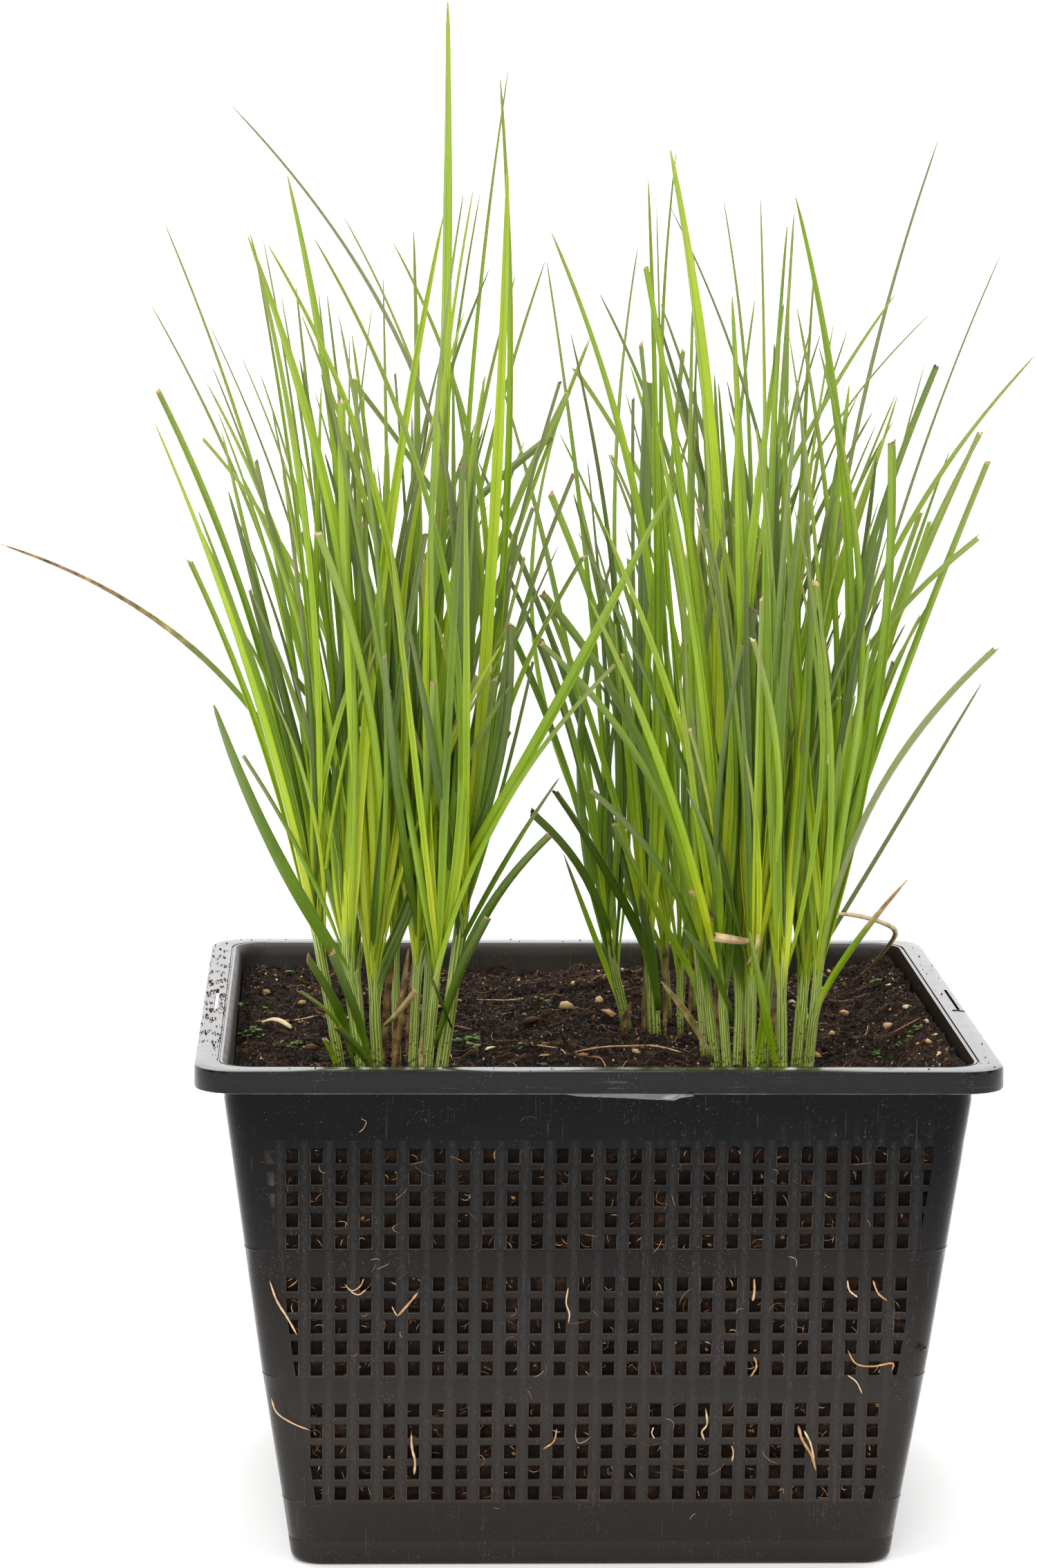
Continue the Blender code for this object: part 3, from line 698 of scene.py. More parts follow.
def basket_point(line, row, inside):
    """Place on the basket of a line counted round it and a row counted up it."""
    half, height, corner = STATIONS[row][inside]
    side, place = divmod(line, LINES_A_SIDE)
    flat = half - corner
    outer_half, outer_height, outer_corner = STATIONS[row][0]
    if 1 <= place <= len(HOLE_LINES):
        edge = wall_half(min(outer_height, row_height(0)))
        low = max(LEFT_MARGIN - edge, outer_corner - outer_half)
        high = min(edge - RIGHT_MARGIN, outer_half - outer_corner)
        x, y = min(max(HOLE_LINES[place - 1], low), high), -half
    elif place == 0:
        x, y = -flat, -half
    else:
        angle = (place - len(HOLE_LINES) - 1) / CORNER_STEPS * math.pi / 2
        x, y = flat + corner * math.sin(angle), -flat - corner * math.cos(angle)
    if is_arch(side, x, row):
        height += ARCH_RISE
    if side == RIGHT_SIDE and row in (FLANGE_SLOT_ROW, FLANGE_SLOT_ROW + 1):
        if FLANGE_SLOTS[side][0] - SHIFT_REACH < x < FLANGE_SLOTS[side][1] + SHIFT_REACH:
            y -= SLOT_SHIFTS[inside]
    return Matrix.Rotation(side * math.pi / 2, 3, "Z") @ Vector((x, y, height))


def is_opening(line, row):
    """Whether a cell of the basket's grid is a hole of the mesh, a drain or a flange slot."""
    side, place = divmod(line, LINES_A_SIDE)
    if not 1 <= place < len(HOLE_LINES):
        return False
    left, right = HOLE_LINES[place - 1], HOLE_LINES[place]
    if row in HOLE_ROWS:
        if place % 2 == 0 or place == 1:
            return False
        a, b = basket_point(line, row + 1, 0), basket_point(line + 1, row + 1, 0)
        return (b - a).length > NARROWEST_HOLE
    if row in FLOOR_SLOT_ROWS:
        return max(abs(left), abs(right)) < FLOOR_SLOT_REACH
    if row == FLANGE_SLOT_ROW and side in FLANGE_SLOTS:
        low, high = FLANGE_SLOTS[side]
        return low < (left + right) / 2 < high
    return False


# Slots of the basket's finishes after the wall's own
FLANGE_FINISH, SKIRT_FINISH, INSIDE_FINISH, SHADED_SMEARED_FINISH = 1, 2, 3, 4
# The flange's top is as level as this; steeper faces of the rim take the skirt's darker finish as
# painted shade. The inside is dusty and painted lighter from a height up, where a face's normal,
# times its place from the middle, points inwards by this much
LEVEL_ENOUGH = 0.85
INSIDE_FROM = 150.0 * MM
INWARD = 60.0 * MM
MERGE_WITHIN = 0.005 * MM
SHARP_DEGREES = 32


def build_basket():
    """A grid wrapped round the basket, opened, thickened and with its holes' corners rounded."""
    bm = bmesh.new()
    row_of = bm.verts.layers.int.new("row")
    line_of = bm.verts.layers.int.new("line")
    lines = 4 * LINES_A_SIDE
    for number, vert in enumerate(grid_in_order(bm, lines, len(STATIONS) - 1)):
        vert[row_of], vert[line_of] = divmod(number, lines + 1)
    openings = [
        face for face in bm.faces
        if is_opening(*(min(vert[layer] for vert in face.verts) for layer in (line_of, row_of)))
    ]
    bmesh.ops.delete(bm, geom=openings, context="FACES")
    for vert in bm.verts:
        vert.co = basket_point(vert[line_of] % lines, vert[row_of], 0)
    bmesh.ops.remove_doubles(bm, verts=bm.verts, dist=MERGE_WITHIN)
    # Plain middle of the floor
    ring = [edge for edge in bm.edges if edge.is_boundary
            and all(vert[row_of] == 0 for vert in edge.verts)]
    bmesh.ops.contextual_create(bm, geom=ring)
    bmesh.ops.recalc_face_normals(bm, faces=bm.faces)
    # Thickness: the same faces again, set on the inner skin
    made = bmesh.ops.extrude_face_region(bm, geom=bm.faces[:], use_keep_orig=True)["geom"]
    inner = {item for item in made if isinstance(item, bmesh.types.BMVert)}
    for vert in inner:
        vert.co = basket_point(vert[line_of] % lines, vert[row_of], 1)
    bmesh.ops.recalc_face_normals(bm, faces=bm.faces)
    # Corners of the holes rounded
    def in_holes(vert):
        """Whether a corner lies on the lower or upper edge of a row of holes."""
        return vert[row_of] in HOLE_ROWS or vert[row_of] - 1 in HOLE_ROWS

    corners = [edge for edge in bm.edges
               if in_holes(edge.verts[0]) and (edge.verts[0] in inner) != (edge.verts[1] in inner)]
    arched = [edge for edge in corners
              if edge.verts[0][row_of] == TOP_HOLE_ROW + 1 and edge.verts[0].co.x > ARCHES_FROM
              and edge.verts[0].co.y < -abs(edge.verts[0].co.x)]
    plain = [edge for edge in corners if edge not in set(arched)]
    for edges, rounding, segments in ((plain, HOLE_ROUND, 2), (arched, ARCH_ROUND, 4)):
        bmesh.ops.bevel(
            bm, geom=edges, offset=rounding, offset_type="OFFSET", segments=segments, profile=0.5,
            affect="EDGES", material=-1, clamp_overlap=True,
        )
    bm.normal_update()
    for face in bm.faces:
        lowest = min(vert[row_of] for vert in face.verts)
        middle = face.calc_center_median()
        # Level rim faces take the lit glossy finish and steeper ones the darker skirt finish: painted
        # light and shade on the rolled edges
        if lowest >= FIRST_RIM_ROW:
            level = face.normal.z > LEVEL_ENOUGH
            face.material_index = FLANGE_FINISH if level else SKIRT_FINISH
        # Inside faces: a lighter dusty finish as painted light, and on the right wall a darker one as
        # painted shade
        if middle.z > INSIDE_FROM and face.normal.dot(Vector((middle.x, middle.y, 0.0))) < -INWARD:
            shaded_and_smeared = middle.x > abs(middle.y)
            face.material_index = SHADED_SMEARED_FINISH if shaded_and_smeared else INSIDE_FINISH
    return close_mesh("basket_shell", bm, sharp_degrees=SHARP_DEGREES)


basket = add_piece("mesh_basket", build_basket(), polypropylene, "basket")
for finish in (lit_glossy_flange, shaded_satin_skirt, dusty_lit_inside, shaded_smeared_inside):
    basket.data.materials.append(finish)


# Soil

SOIL_CELLS = 170
SOIL_SIDE_ROWS = 62
CRUST_CELLS = 296
CRUST_DEPTH = 7.0 * MM
CRUST_FOOT = 160.5 * MM
SOIL_CORNER = WALL_CORNER - WALL - SOIL_GAP
TOP_RELIEF = 3.0 * MM
GRIT = 0.83 * MM
SIDE_RELIEF = 1.7 * MM
# Layers of the relief: how many shapes lie to a metre and how high they rise; grains only rise
CLOD_LAYERS = ((38, 0.7), (95, 0.8), (230, 0.5))
GRAIN_FINENESS, GRAIN_RISE = 560, 0.35


def soil_height(x, y):
    """Height of the soil's smooth surface over a point."""
    height = SOIL_LEVEL + SOIL_RISE * y
    for mound_x, mound_y, radius, rise in SOIL_MOUNDS:
        away = math.hypot(x - mound_x * MM, y - mound_y * MM) / (radius * MM)
        height += rise * MM * math.exp(-away * away)
    heaped = float(smooth_step((x - HEAP_FROM) / (HEAP_TO - HEAP_FROM)))
    return height + (HEAP_LEVEL - HEAP_FALL * y - height) * heaped


def soil_half(height):
    """Half width that the soil may have at a height, clear of the wall."""
    return wall_half(height) - WALL - SOIL_GAP


def crumble(place):
    """How far clods, crumbs and grains lift the surface at a place, from about -1 to 1."""
    clods = sum(noise.noise(place * fineness) * rise for fineness, rise in CLOD_LAYERS)
    return clods + abs(noise.noise(place * GRAIN_FINENESS)) * GRAIN_RISE


def crumbled_height(x, y):
    """Height of the crumbled surface over a point."""
    return soil_height(x, y) + TOP_RELIEF * (crumble(Vector((x, y, 0.0))) - 0.25)


def rounded_square(x, y, half):
    """A point given as shares of a square's half size, in the square with rounded corners."""
    flat = half - SOIL_CORNER
    x, y = x * half, y * half
    over_x, over_y = abs(x) - flat, abs(y) - flat
    if over_x > 0 and over_y > 0:
        pull = max(over_x, over_y) / math.hypot(over_x, over_y)
        x = math.copysign(flat + over_x * pull, x)
        y = math.copysign(flat + over_y * pull, y)
    return x, y


def side_place(share_x, share_y, height):
    """A point on the soil's side, crumbled inwards from its neatest outline."""
    x, y = rounded_square(share_x, share_y, soil_half(height))
    sink = SIDE_RELIEF * min(1.0, max(0.0, 0.45 - 0.75 * crumble(Vector((x, y, height)))))
    scale = 1 - sink / max(abs(x), abs(y))
    return x * scale, y * scale, height


def drop_edge(bm, edge, place):
    """A row of faces hung from an open edge, each new corner put where place says."""
    made = bmesh.ops.extrude_edge_only(bm, edges=edge)["geom"]
    for vert in (item for item in made if isinstance(item, bmesh.types.BMVert)):
        vert.co = place(vert)
    return [item for item in made if isinstance(item, bmesh.types.BMEdge) and item.is_boundary]


def close_soil(name, bm, edge):
    """The mesh of a piece of soil, its open edge filled."""
    bmesh.ops.contextual_create(bm, geom=edge)
    bmesh.ops.recalc_face_normals(bm, faces=bm.faces)
    return close_mesh(name, bm)


def build_crust():
    """The top of the peat, crumbled finely and closed below."""
    bm = bmesh.new()
    bmesh.ops.create_grid(bm, x_segments=CRUST_CELLS, y_segments=CRUST_CELLS, size=1.0)
    for vert in bm.verts:
        x, y = rounded_square(vert.co.x, vert.co.y, soil_half(SOIL_LEVEL) - 0.3 * MM)
        height = crumbled_height(x, y)
        if not vert.is_boundary:
            height += SOIL_RANDOM.uniform(-1.0, 1.0) * GRIT
        vert.co = (x, y, height)
    inward = soil_half(CRUST_FOOT) / soil_half(SOIL_LEVEL)
    edge = [item for item in bm.edges if item.is_boundary]
    edge = drop_edge(bm, edge, lambda vert: (vert.co.x * inward, vert.co.y * inward, CRUST_FOOT))
    mesh = close_soil("peat_crust", bm, edge)
    mesh.shade_flat()
    return mesh


def build_soil():
    """The peat: sides that show their crumbs through the mesh, and a top just under the crust."""
    bm = bmesh.new()
    shares = [bm.verts.layers.float.new(name) for name in ("share_x", "share_y")]
    bmesh.ops.create_grid(bm, x_segments=SOIL_CELLS, y_segments=SOIL_CELLS, size=1.0)
    for vert in bm.verts:
        vert[shares[0]], vert[shares[1]] = vert.co.x, vert.co.y
        x, y = rounded_square(vert.co.x, vert.co.y, soil_half(SOIL_LEVEL))
        x, y = rounded_square(vert.co.x, vert.co.y, soil_half(soil_height(x, y)))
        vert.co = (x, y, soil_height(x, y) - CRUST_DEPTH * 0.7)
    edge = [item for item in bm.edges if item.is_boundary]
    for rows_left in range(SOIL_SIDE_ROWS, 0, -1):
        def lower(vert):
            """A corner's place one row further down the side."""
            height = vert.co.z - (vert.co.z - SOIL_BOTTOM) / rows_left
            return side_place(*(vert[share] for share in shares), height)

        edge = drop_edge(bm, edge, lower)
    return close_soil("peat_block", bm, edge)


add_piece("peat_block", build_soil(), peat, "soil")
add_piece("peat_crust", build_crust(), peat)

# Crumbs and fibres: how many, and the crumbs' sizes in millimetres
TOP_CRUMBS, TOP_CRUMB_SIZES = 8400, (0.5, 2.4)
FINE_CRUMBS, FINE_CRUMB_SIZES = 24000, (0.35, 1.3)
HOLE_CRUMBS, HOLE_CRUMB_SIZES = 6240, (0.6, 2.6)
HOLE_FIBRES, TOP_FIBRES, WALL_THREADS = 2000, 5200, 260
# Heap of bark at the back: share of the crumbs, middle and spread in millimetres
BARK_SHARE, BARK_TONE = 0.06, 0.16
BARK_HEAP = ((12, 16), (84, 12))
LUMPS, LUMP_FACES = LUMP_SET = make_lumps(count=14, roughness=1.2, seed=3.0)
GRAIN_SET = make_lumps(count=10, roughness=0.9, seed=8.0, tiny=True)
# Tones of crumbs: how the dark peat's are spread and scaled, and those of tan and cream grains
PEAT_SPREAD, PEAT_SCALE = (0.7, 3.2), 0.78
TAN_TONES, CREAM_TONES, CREAM_SHARE = (0.66, 0.88), (0.9, 1.0), 0.3


def crumb_tones(count, bright=0.028):
    """Mostly dark peat, some bark, and a few tan and cream grains."""
    tones = SOIL_RANDOM.beta(*PEAT_SPREAD, count) * PEAT_SCALE
    lot = SOIL_RANDOM.uniform(0, 1, count)
    tones = np.where(lot < bright, SOIL_RANDOM.uniform(*TAN_TONES, count), tones)
    return np.where(lot < bright * CREAM_SHARE, SOIL_RANDOM.uniform(*CREAM_TONES, count), tones)


def crumb_sizes(count, smallest, largest, power=3.2):
    """Many small crumbs and a few large ones, in metres."""
    share = SOIL_RANDOM.uniform(0, 1, count) ** power
    return (smallest + (largest - smallest) * share) * MM


def patch_tones(x, y, tones):
    """Tones shifted in patches some 30 mm across, browner towards the right."""
    patches = [noise.noise(Vector((a * 34, b * 34, 5.0))) for a, b in zip(x, y)]
    return tones * (1 + 0.9 * np.array(patches)) + np.clip(x / 0.9, -0.04, 0.12)


def surface_points(x, y, lift):
    """Points on the crumbled surface, raised by a distance."""
    heights = [crumbled_height(a, b) for a, b in zip(x, y)]
    return np.stack((x, y, np.array(heights) + lift), axis=1)


def even_places(count, margin):
    """Random places over the soil, clear of its edge by a margin."""
    half = soil_half(SOIL_LEVEL) - margin
    return half, SOIL_RANDOM.uniform(-half, half, count), SOIL_RANDOM.uniform(-half, half, count)


def bent_strands(length, widest_turn, sway, rows, ripple=0.0):
    """Short bent strands: how far each of their rows lies along and up from their middles."""
    angle = SOIL_RANDOM.uniform(0, widest_turn, len(length))[:, None]
    step = np.linspace(-0.5, 0.5, rows)[None]
    length = length[:, None]
    bend = SOIL_RANDOM.normal(0, sway, length.shape) * length * (step ** 2 * 4 - 1)
    if ripple:
        bend = bend + SOIL_RANDOM.normal(0, ripple, bend.shape) * MM
    along = length * step
    cos, sin = np.cos(angle), np.sin(angle)
    return along * cos - bend * sin, along * sin + bend * cos


def add_crumbs(name, lumps, places, sizes, tones):
    """A piece of loose crumbs at the places given."""
    add_piece(name, scatter_lumps(name, lumps, places, sizes, tone=tones), crumb_mix)


def scatter_on_top():
    """Loose crumbs over the whole surface, thicker on the bark heap at the back."""
    places = even_places(TOP_CRUMBS, 2 * MM)[1:]
    heap = SOIL_RANDOM.uniform(0, 1, TOP_CRUMBS) < BARK_SHARE
    x, y = (
        np.where(heap, SOIL_RANDOM.normal(middle * MM, spread * MM, TOP_CRUMBS), even)
        for even, (middle, spread) in zip(places, BARK_HEAP)
    )
    sizes = crumb_sizes(TOP_CRUMBS, *TOP_CRUMB_SIZES, power=2.4)
    tones = patch_tones(x, y, crumb_tones(TOP_CRUMBS))
    tones = np.where(heap, tones + BARK_TONE, tones)
    add_crumbs("peat_crumbs", LUMP_SET, surface_points(x, y, sizes * 0.15), sizes, tones)
    x, y = even_places(FINE_CRUMBS, 2 * MM)[1:]
    sizes = crumb_sizes(FINE_CRUMBS, *FINE_CRUMB_SIZES, power=1.8)
    places = surface_points(x, y, sizes * 0.3)
    tones = patch_tones(x, y, crumb_tones(FINE_CRUMBS, 0.11))
    add_crumbs("fine_crumbs", GRAIN_SET, places, sizes, tones)


def hole_places(count):
    """Random places behind the holes: which wall, how far along it, and how high."""
    sides = SOIL_RANDOM.integers(0, 4, count)
    open_rows = np.array([row for row in range(ROW_COUNT) if row not in SOLID_ROWS])
    rows = open_rows[SOIL_RANDOM.integers(0, len(open_rows), count)]
    heights = TOP_ROW_HEIGHT - rows * ROW_PITCH + SOIL_RANDOM.uniform(-2.9, 2.9, count) * MM
    columns = SOIL_RANDOM.integers(FIRST_COLUMN, LAST_COLUMN + 1, count) + 0.5
    across = columns * COLUMN_PITCH + SOIL_RANDOM.uniform(-2.9, 2.9, count) * MM
    limit = wall_half(heights) - WALL_CORNER - 4 * MM
    return sides, np.clip(across, -limit, limit), heights


def turn_sides(sides, points):
    """Points given for the front wall, turned to their own walls."""
    angle = (sides * math.pi / 2).reshape((-1,) + (1,) * (points.ndim - 2))
    cos, sin = np.cos(angle), np.sin(angle)
    x, y = points[..., 0], points[..., 1]
    return np.stack((x * cos - y * sin, x * sin + y * cos, points[..., 2]), axis=-1)


def stick_strands(name, sides, across, up, inward, radii, least_tone):
    """Strands laid as far inside the front wall as inward says, turned to their own walls."""
    paths = turn_sides(sides, np.stack((across, inward - wall_half(up), up), axis=-1))
    tones = SOIL_RANDOM.uniform(least_tone, 1.0, len(paths))
    radii = radii * MM * np.ones((1, paths.shape[1]))
    add_piece(name, join_strands(name, paths, radii, 3, tone=tones), fibre)


def scatter_behind_holes():
    """Crumbs and fibres that show through the mesh."""
    sides, across, heights = hole_places(HOLE_CRUMBS)
    sizes = crumb_sizes(HOLE_CRUMBS, *HOLE_CRUMB_SIZES, power=1.6)
    depth = WALL + sizes * 0.62 + SOIL_RANDOM.uniform(0.0, 1.0, HOLE_CRUMBS) * MM
    front = np.stack((across, depth - wall_half(heights), heights), axis=1)
    # Tones a tenth darker than on top: painted shade behind the mesh
    tones = crumb_tones(HOLE_CRUMBS, 0.07) * 0.9
    add_crumbs("crumbs_in_mesh", LUMP_SET, turn_sides(sides, front), sizes, tones)
    sides, across, heights = hole_places(HOLE_FIBRES)
    length = SOIL_RANDOM.uniform(2.0, 6.0, HOLE_FIBRES) * MM
    aside, lift = bent_strands(length, math.pi, 0.25, 5)
    inward = (WALL + 0.25 * MM) + SOIL_RANDOM.uniform(0, 0.6, aside.shape) * MM
    radii = SOIL_RANDOM.uniform(0.08, 0.24, HOLE_FIBRES)[:, None]
    stick_strands("fibres_in_mesh", sides, across[:, None] + aside, heights[:, None] + lift,
                  inward, radii, 0.3)


def scatter_fibres():
    """Fine brown fibres and rootlets lying on the surface."""
    half, x, y = even_places(TOP_FIBRES, 4 * MM)
    length = crumb_sizes(TOP_FIBRES, 1.8, 13.0, power=2.6)
    aside, onward = bent_strands(length, 2 * math.pi, 0.45, 6, ripple=0.35)
    path_x = np.clip(x[:, None] + aside, -half, half)
    path_y = np.clip(y[:, None] + onward, -half, half)
    flat = surface_points(path_x.ravel(), path_y.ravel(), 0.0).reshape(*aside.shape, 3)
    flat[..., 2] += 0.4 * MM + SOIL_RANDOM.uniform(0, 1.1, aside.shape) * MM
    radii = crumb_sizes(TOP_FIBRES, 0.05, 0.15, power=2.0)[:, None] * np.ones((1, 6))
    tones = SOIL_RANDOM.beta(1.0, 3.0, TOP_FIBRES)
    mesh = join_strands("surface_fibres", flat, radii, 3, tone=tones)
    add_piece("surface_fibres", mesh, fibre)


scatter_on_top()
scatter_behind_holes()
scatter_fibres()

# Larger bits on the surface, in millimetres: place, size along, across and through,
# turn in degrees, and tone
BITS = (
    (-35, -31, 5.6, 3.4, 1.0, 55, 1.0), (-4, 42, 6.6, 5.4, 4.2, 20, 0.9), (9, 52, 3.0, 2.6, 2.4, 0, 0.9),
    (11, 27, 9.0, 3.4, 2.4, -62, 0.84), (-44, 70, 6.0, 3.2, 1.6, 70, 0.78),
    (121, 9, 4.6, 2.4, 1.6, 15, 1.0), (113, 2, 3.6, 2.8, 2.4, 0, 0.9), (100, 34, 3.4, 2.8, 2.4, 0, 0.84),
    (86, 30, 3.0, 2.6, 2.4, 40, 0.9), (92, -4, 2.8, 2.4, 2.2, 0, 0.88), (84, -30, 3.2, 2.6, 2.2, 0, 0.82),
    (78, 64, 3.2, 2.6, 2.4, 30, 0.8), (-118, 84, 3.0, 2.4, 2.2, 0, 0.8),
    (-100, -22, 6.0, 4.4, 3.2, 25, 0.56), (-104, 52, 3.4, 2.8, 2.4, 0, 0.8),
    (-18, 18, 6.4, 4.8, 3.4, 10, 0.46), (-16, -48, 4.2, 2.2, 1.2, 20, 0.86),
    (-2, -46, 5.2, 2.8, 1.6, -30, 0.7), (-52, 44, 6.4, 3.0, 1.4, 35, 0.72),
    (18, -34, 3.4, 2.8, 2.2, 0, 0.88), (96, 78, 3.4, 2.6, 2.2, 0, 0.86),
)
# Moss cushions and seed leaves: place, spread and how many
MOSS = (
    (-122, 0, 3.6, 14), (-105, -17, 3.8, 14), (-109, 108, 3.0, 6), (-117, 40, 2.6, 7),
    (-127, 40, 1.4, 4), (-43, -8, 5.2, 18), (-42, -26, 2.2, 6), (-18, -55, 1.8, 3),
    (118, -34, 4.6, 16), (106, -28, 2.6, 8), (115, 72, 1.6, 4), (-12, 60, 2.0, 5),
    (-30, 38, 1.6, 3), (-24, -30, 1.4, 3), (60, 96, 2.4, 6), (-76, 92, 2.6, 6),
)


def upright_turns(angles, tilt):
    """Turns about the upright, each then tipped a little."""
    made = []
    for angle in angles:
        lean = Matrix.Rotation(SOIL_RANDOM.normal(0, tilt), 3, "X")
        made.append(np.array(Matrix.Rotation(angle, 3, "Z") @ lean))
    return np.array(made)


def lay_flat(name, places, sizes, angles, tilt, **attributes):
    """Lumps with their own three sizes, laid on the surface."""
    kinds = SOIL_RANDOM.integers(0, len(LUMPS), len(places))
    shaped = LUMPS[kinds] * sizes[:, None] / 2
    turned = np.einsum("nij,nvj->nvi", upright_turns(angles, tilt), shaped)
    return join_copies(name, turned + places[:, None], LUMP_FACES, **attributes)


def lay_bits():
    """The larger chips and pebbles."""
    bits = np.array(BITS, float)
    places = surface_points(bits[:, 0] * MM, bits[:, 1] * MM, bits[:, 4] * MM * 0.3 + GRIT)
    mesh = lay_flat("chips_and_pebbles", places, bits[:, 2:5] * MM, np.radians(bits[:, 5]), 0.12,
                    tone=bits[:, 6])
    add_piece("chips_and_pebbles", mesh, crumb_mix)


def grow_moss():
    """Small leaves heaped as moss cushions and seedlings."""
    x, y, sizes = [], [], []
    for centre_x, centre_y, spread, count in MOSS:
        x.append(SOIL_RANDOM.normal(centre_x, spread * 0.6, count))
        y.append(SOIL_RANDOM.normal(centre_y, spread * 0.8, count))
        sizes.append(SOIL_RANDOM.uniform(1.4, 3.4, (count, 1)) * ((1.0, 0.62, 0.22),))
    x, y, sizes = np.concatenate(x) * MM, np.concatenate(y) * MM, np.concatenate(sizes) * MM
    places = surface_points(x, y, SOIL_RANDOM.uniform(0.5, 2.6, len(x)) * MM)
    angles = SOIL_RANDOM.uniform(0, 2 * math.pi, len(x))
    add_piece("moss_and_seedlings", lay_flat("moss_and_seedlings", places, sizes, angles, 0.45),
              moss)


# A pale curled chip of bark: its ends on the soil, its width, how far it arches up, how far its
# long edges curl down, and its thickness
CURL_ENDS = ((-118.5, 19.0), (-107.5, 9.0))
CURL_WIDTH, CURL_ARCH, CURL_DROOP, CURL_THICKNESS = 3.4 * MM, 2.2 * MM, 0.9 * MM, 0.4 * MM
CURL_TONE = 0.95


def lay_curl():
    """The curled chip, hollow side down."""
    bm = bmesh.new()
    ends = np.array([(x, y, 0.0) for x, y in CURL_ENDS]) * MM
    aside = unit(np.cross(ends[1] - ends[0], (0.0, 0.0, 1.0)))
    rows = []
    for share in np.linspace(0.0, 1.0, 12):
        middle = ends[0] + (ends[1] - ends[0]) * share
        base = soil_height(*middle[:2]) + 1.2 * MM
        breadth = CURL_WIDTH * (0.35 + 0.65 * math.sin(share * math.pi) ** 0.6)
        row = []
        for across in np.linspace(-1.0, 1.0, 7):
            place = middle + aside * across * breadth / 2
            lift = CURL_ARCH * math.sin(share * math.pi) - CURL_DROOP * across * across
            row.append((place[0], place[1], base + lift))
        rows.append(row)
    place_grid(bm, np.array(rows))
    mesh = close_mesh("curled_chip", bm)
    layer = mesh.attributes.new("tone", "FLOAT", "POINT")
    layer.data.foreach_set("value", np.full(len(mesh.vertices), CURL_TONE, dtype=np.float32))
    piece = add_piece("curled_chip", mesh, crumb_mix)
    thicken(piece, CURL_THICKNESS, offset=-1.0)


lay_bits()
lay_curl()
grow_moss()

# Straws and dry curls lying on the soil, in millimetres: their paths and half thickness
STRAWS = (
    (((-122, 22), (-115, 25), (-106, 27), (-97, 26)), 0.32),
    (((-97, 26), (-90, 24), (-86, 16)), 0.22),
    (((-6, -40), (6, -30), (16, -22), (26, -20), (37, -24)), 0.4),
    (((-48, -2), (-50, -18), (-49, -34)), 0.3),
    (((-60, 60), (-50, 52), (-42, 40)), 0.45),
    (((-38, 66), (-24, 72), (-14, 66)), 0.22),
    (((-60, 10), (-50, 14), (-40, 8)), 0.25),
    (((96, 58), (104, 64), (113, 60)), 0.22),
    (((100, 4), (106, 10), (108, 20)), 0.2),
    (((112, -10), (118, -16), (124, -14)), 0.25),
    (((-2, -40), (4, -48), (6, -58)), 0.28),
    (((86, 96), (84, 84), (90, 76)), 0.2),
    (((-18, -22), (-10, -30), (-8, -42)), 0.22),
)
ROOT_SHARE = 0.72
# Roots grown out through the front mesh, in millimetres across and up, and half thickness
FACE_ROOTS = (
    (((-114, 106.4), (-111.5, 99), (-108, 93), (-104.3, 86.1)), 0.55),
    (((-62.3, 102), (-65, 98.5), (-67.5, 95.5), (-69.5, 93.1)), 0.55),
    (((-71.5, 96.8), (-70.4, 94.5), (-69.5, 93.1)), 0.35),
    (((-113.5, 63.1), (-111.5, 57.5), (-106, 53.5), (-99.5, 50.7)), 0.4),
    (((-64.4, 49.6), (-64.1, 44), (-63, 39), (-63.3, 33.9)), 0.6),
    (((-13.4, 51.3), (-14.4, 46.5), (-18.2, 43.6)), 0.4),
    (((-10.1, 103.8), (-10.8, 98), (-9.6, 94), (-9.9, 90.5)), 0.4),
    (((38.7, 59), (39.4, 53), (37.6, 50), (38.7, 46.6)), 0.5),
    (((71.4, 52.5), (73, 47), (76.5, 41), (78.2, 35.1)), 0.75),
    (((73.5, 50.5), (76, 45.5), (77.5, 39)), 0.5),
    (((87.9, 80.7), (91, 75.5), (97, 74.4), (103.9, 75.6), (103.7, 72.5)), 0.5),
    (((88.2, 71.2), (91.5, 68.5), (93.7, 64)), 0.35),
    (((55.2, 78.2), (56.2, 74.5), (54.2, 70.5)), 0.5),
    (((20.6, 51.8), (20, 49.5), (21.1, 47.4)), 0.3),
    (((48.2, 44.8), (48.9, 42), (48.4, 38.5)), 0.4),
    (((96.1, 106.2), (98, 101.5), (101.4, 98.6)), 0.45),
    (((87.2, 106.2), (88, 102.5), (91, 99.9)), 0.4),
    (((-88, 105), (-85.5, 102.5), (-82.6, 104), (-81.2, 107)), 0.35),
    (((-86, 102.2), (-83, 101), (-80.4, 103)), 0.3),
    (((-82.4, 165), (-80.7, 163.8), (-81.6, 161.4), (-83.2, 160)), 0.16),
    (((54.6, 107), (54.8, 102), (54.2, 98.5)), 0.6),
)


def add_paths(name, paths, tones):
    """Tapering strands along the paths given, all with the same number of points."""
    rows = 14
    routes = np.array([curve_through(path, rows) for path, radius in paths])
    ends = np.clip(np.sin(np.linspace(0.12, 0.88, rows) * math.pi) * 1.5, 0.25, 1.0)
    radii = np.array([[radius * MM] for path, radius in paths]) * ends
    radii = radii * SOIL_RANDOM.uniform(0.75, 1.2, radii.shape)
    add_piece(name, join_strands(name, routes, radii, 5, tone=tones), fibre)


def lay_straws():
    """Straws and dry curls lying on the soil."""
    paths = []
    for points, radius in STRAWS:
        flat = np.array(points, float) * MM
        paths.append((surface_points(flat[:, 0], flat[:, 1], (0.7 + radius) * MM), radius))
    add_paths("straws", paths, SOIL_RANDOM.uniform(0.55, 0.95, len(paths)))


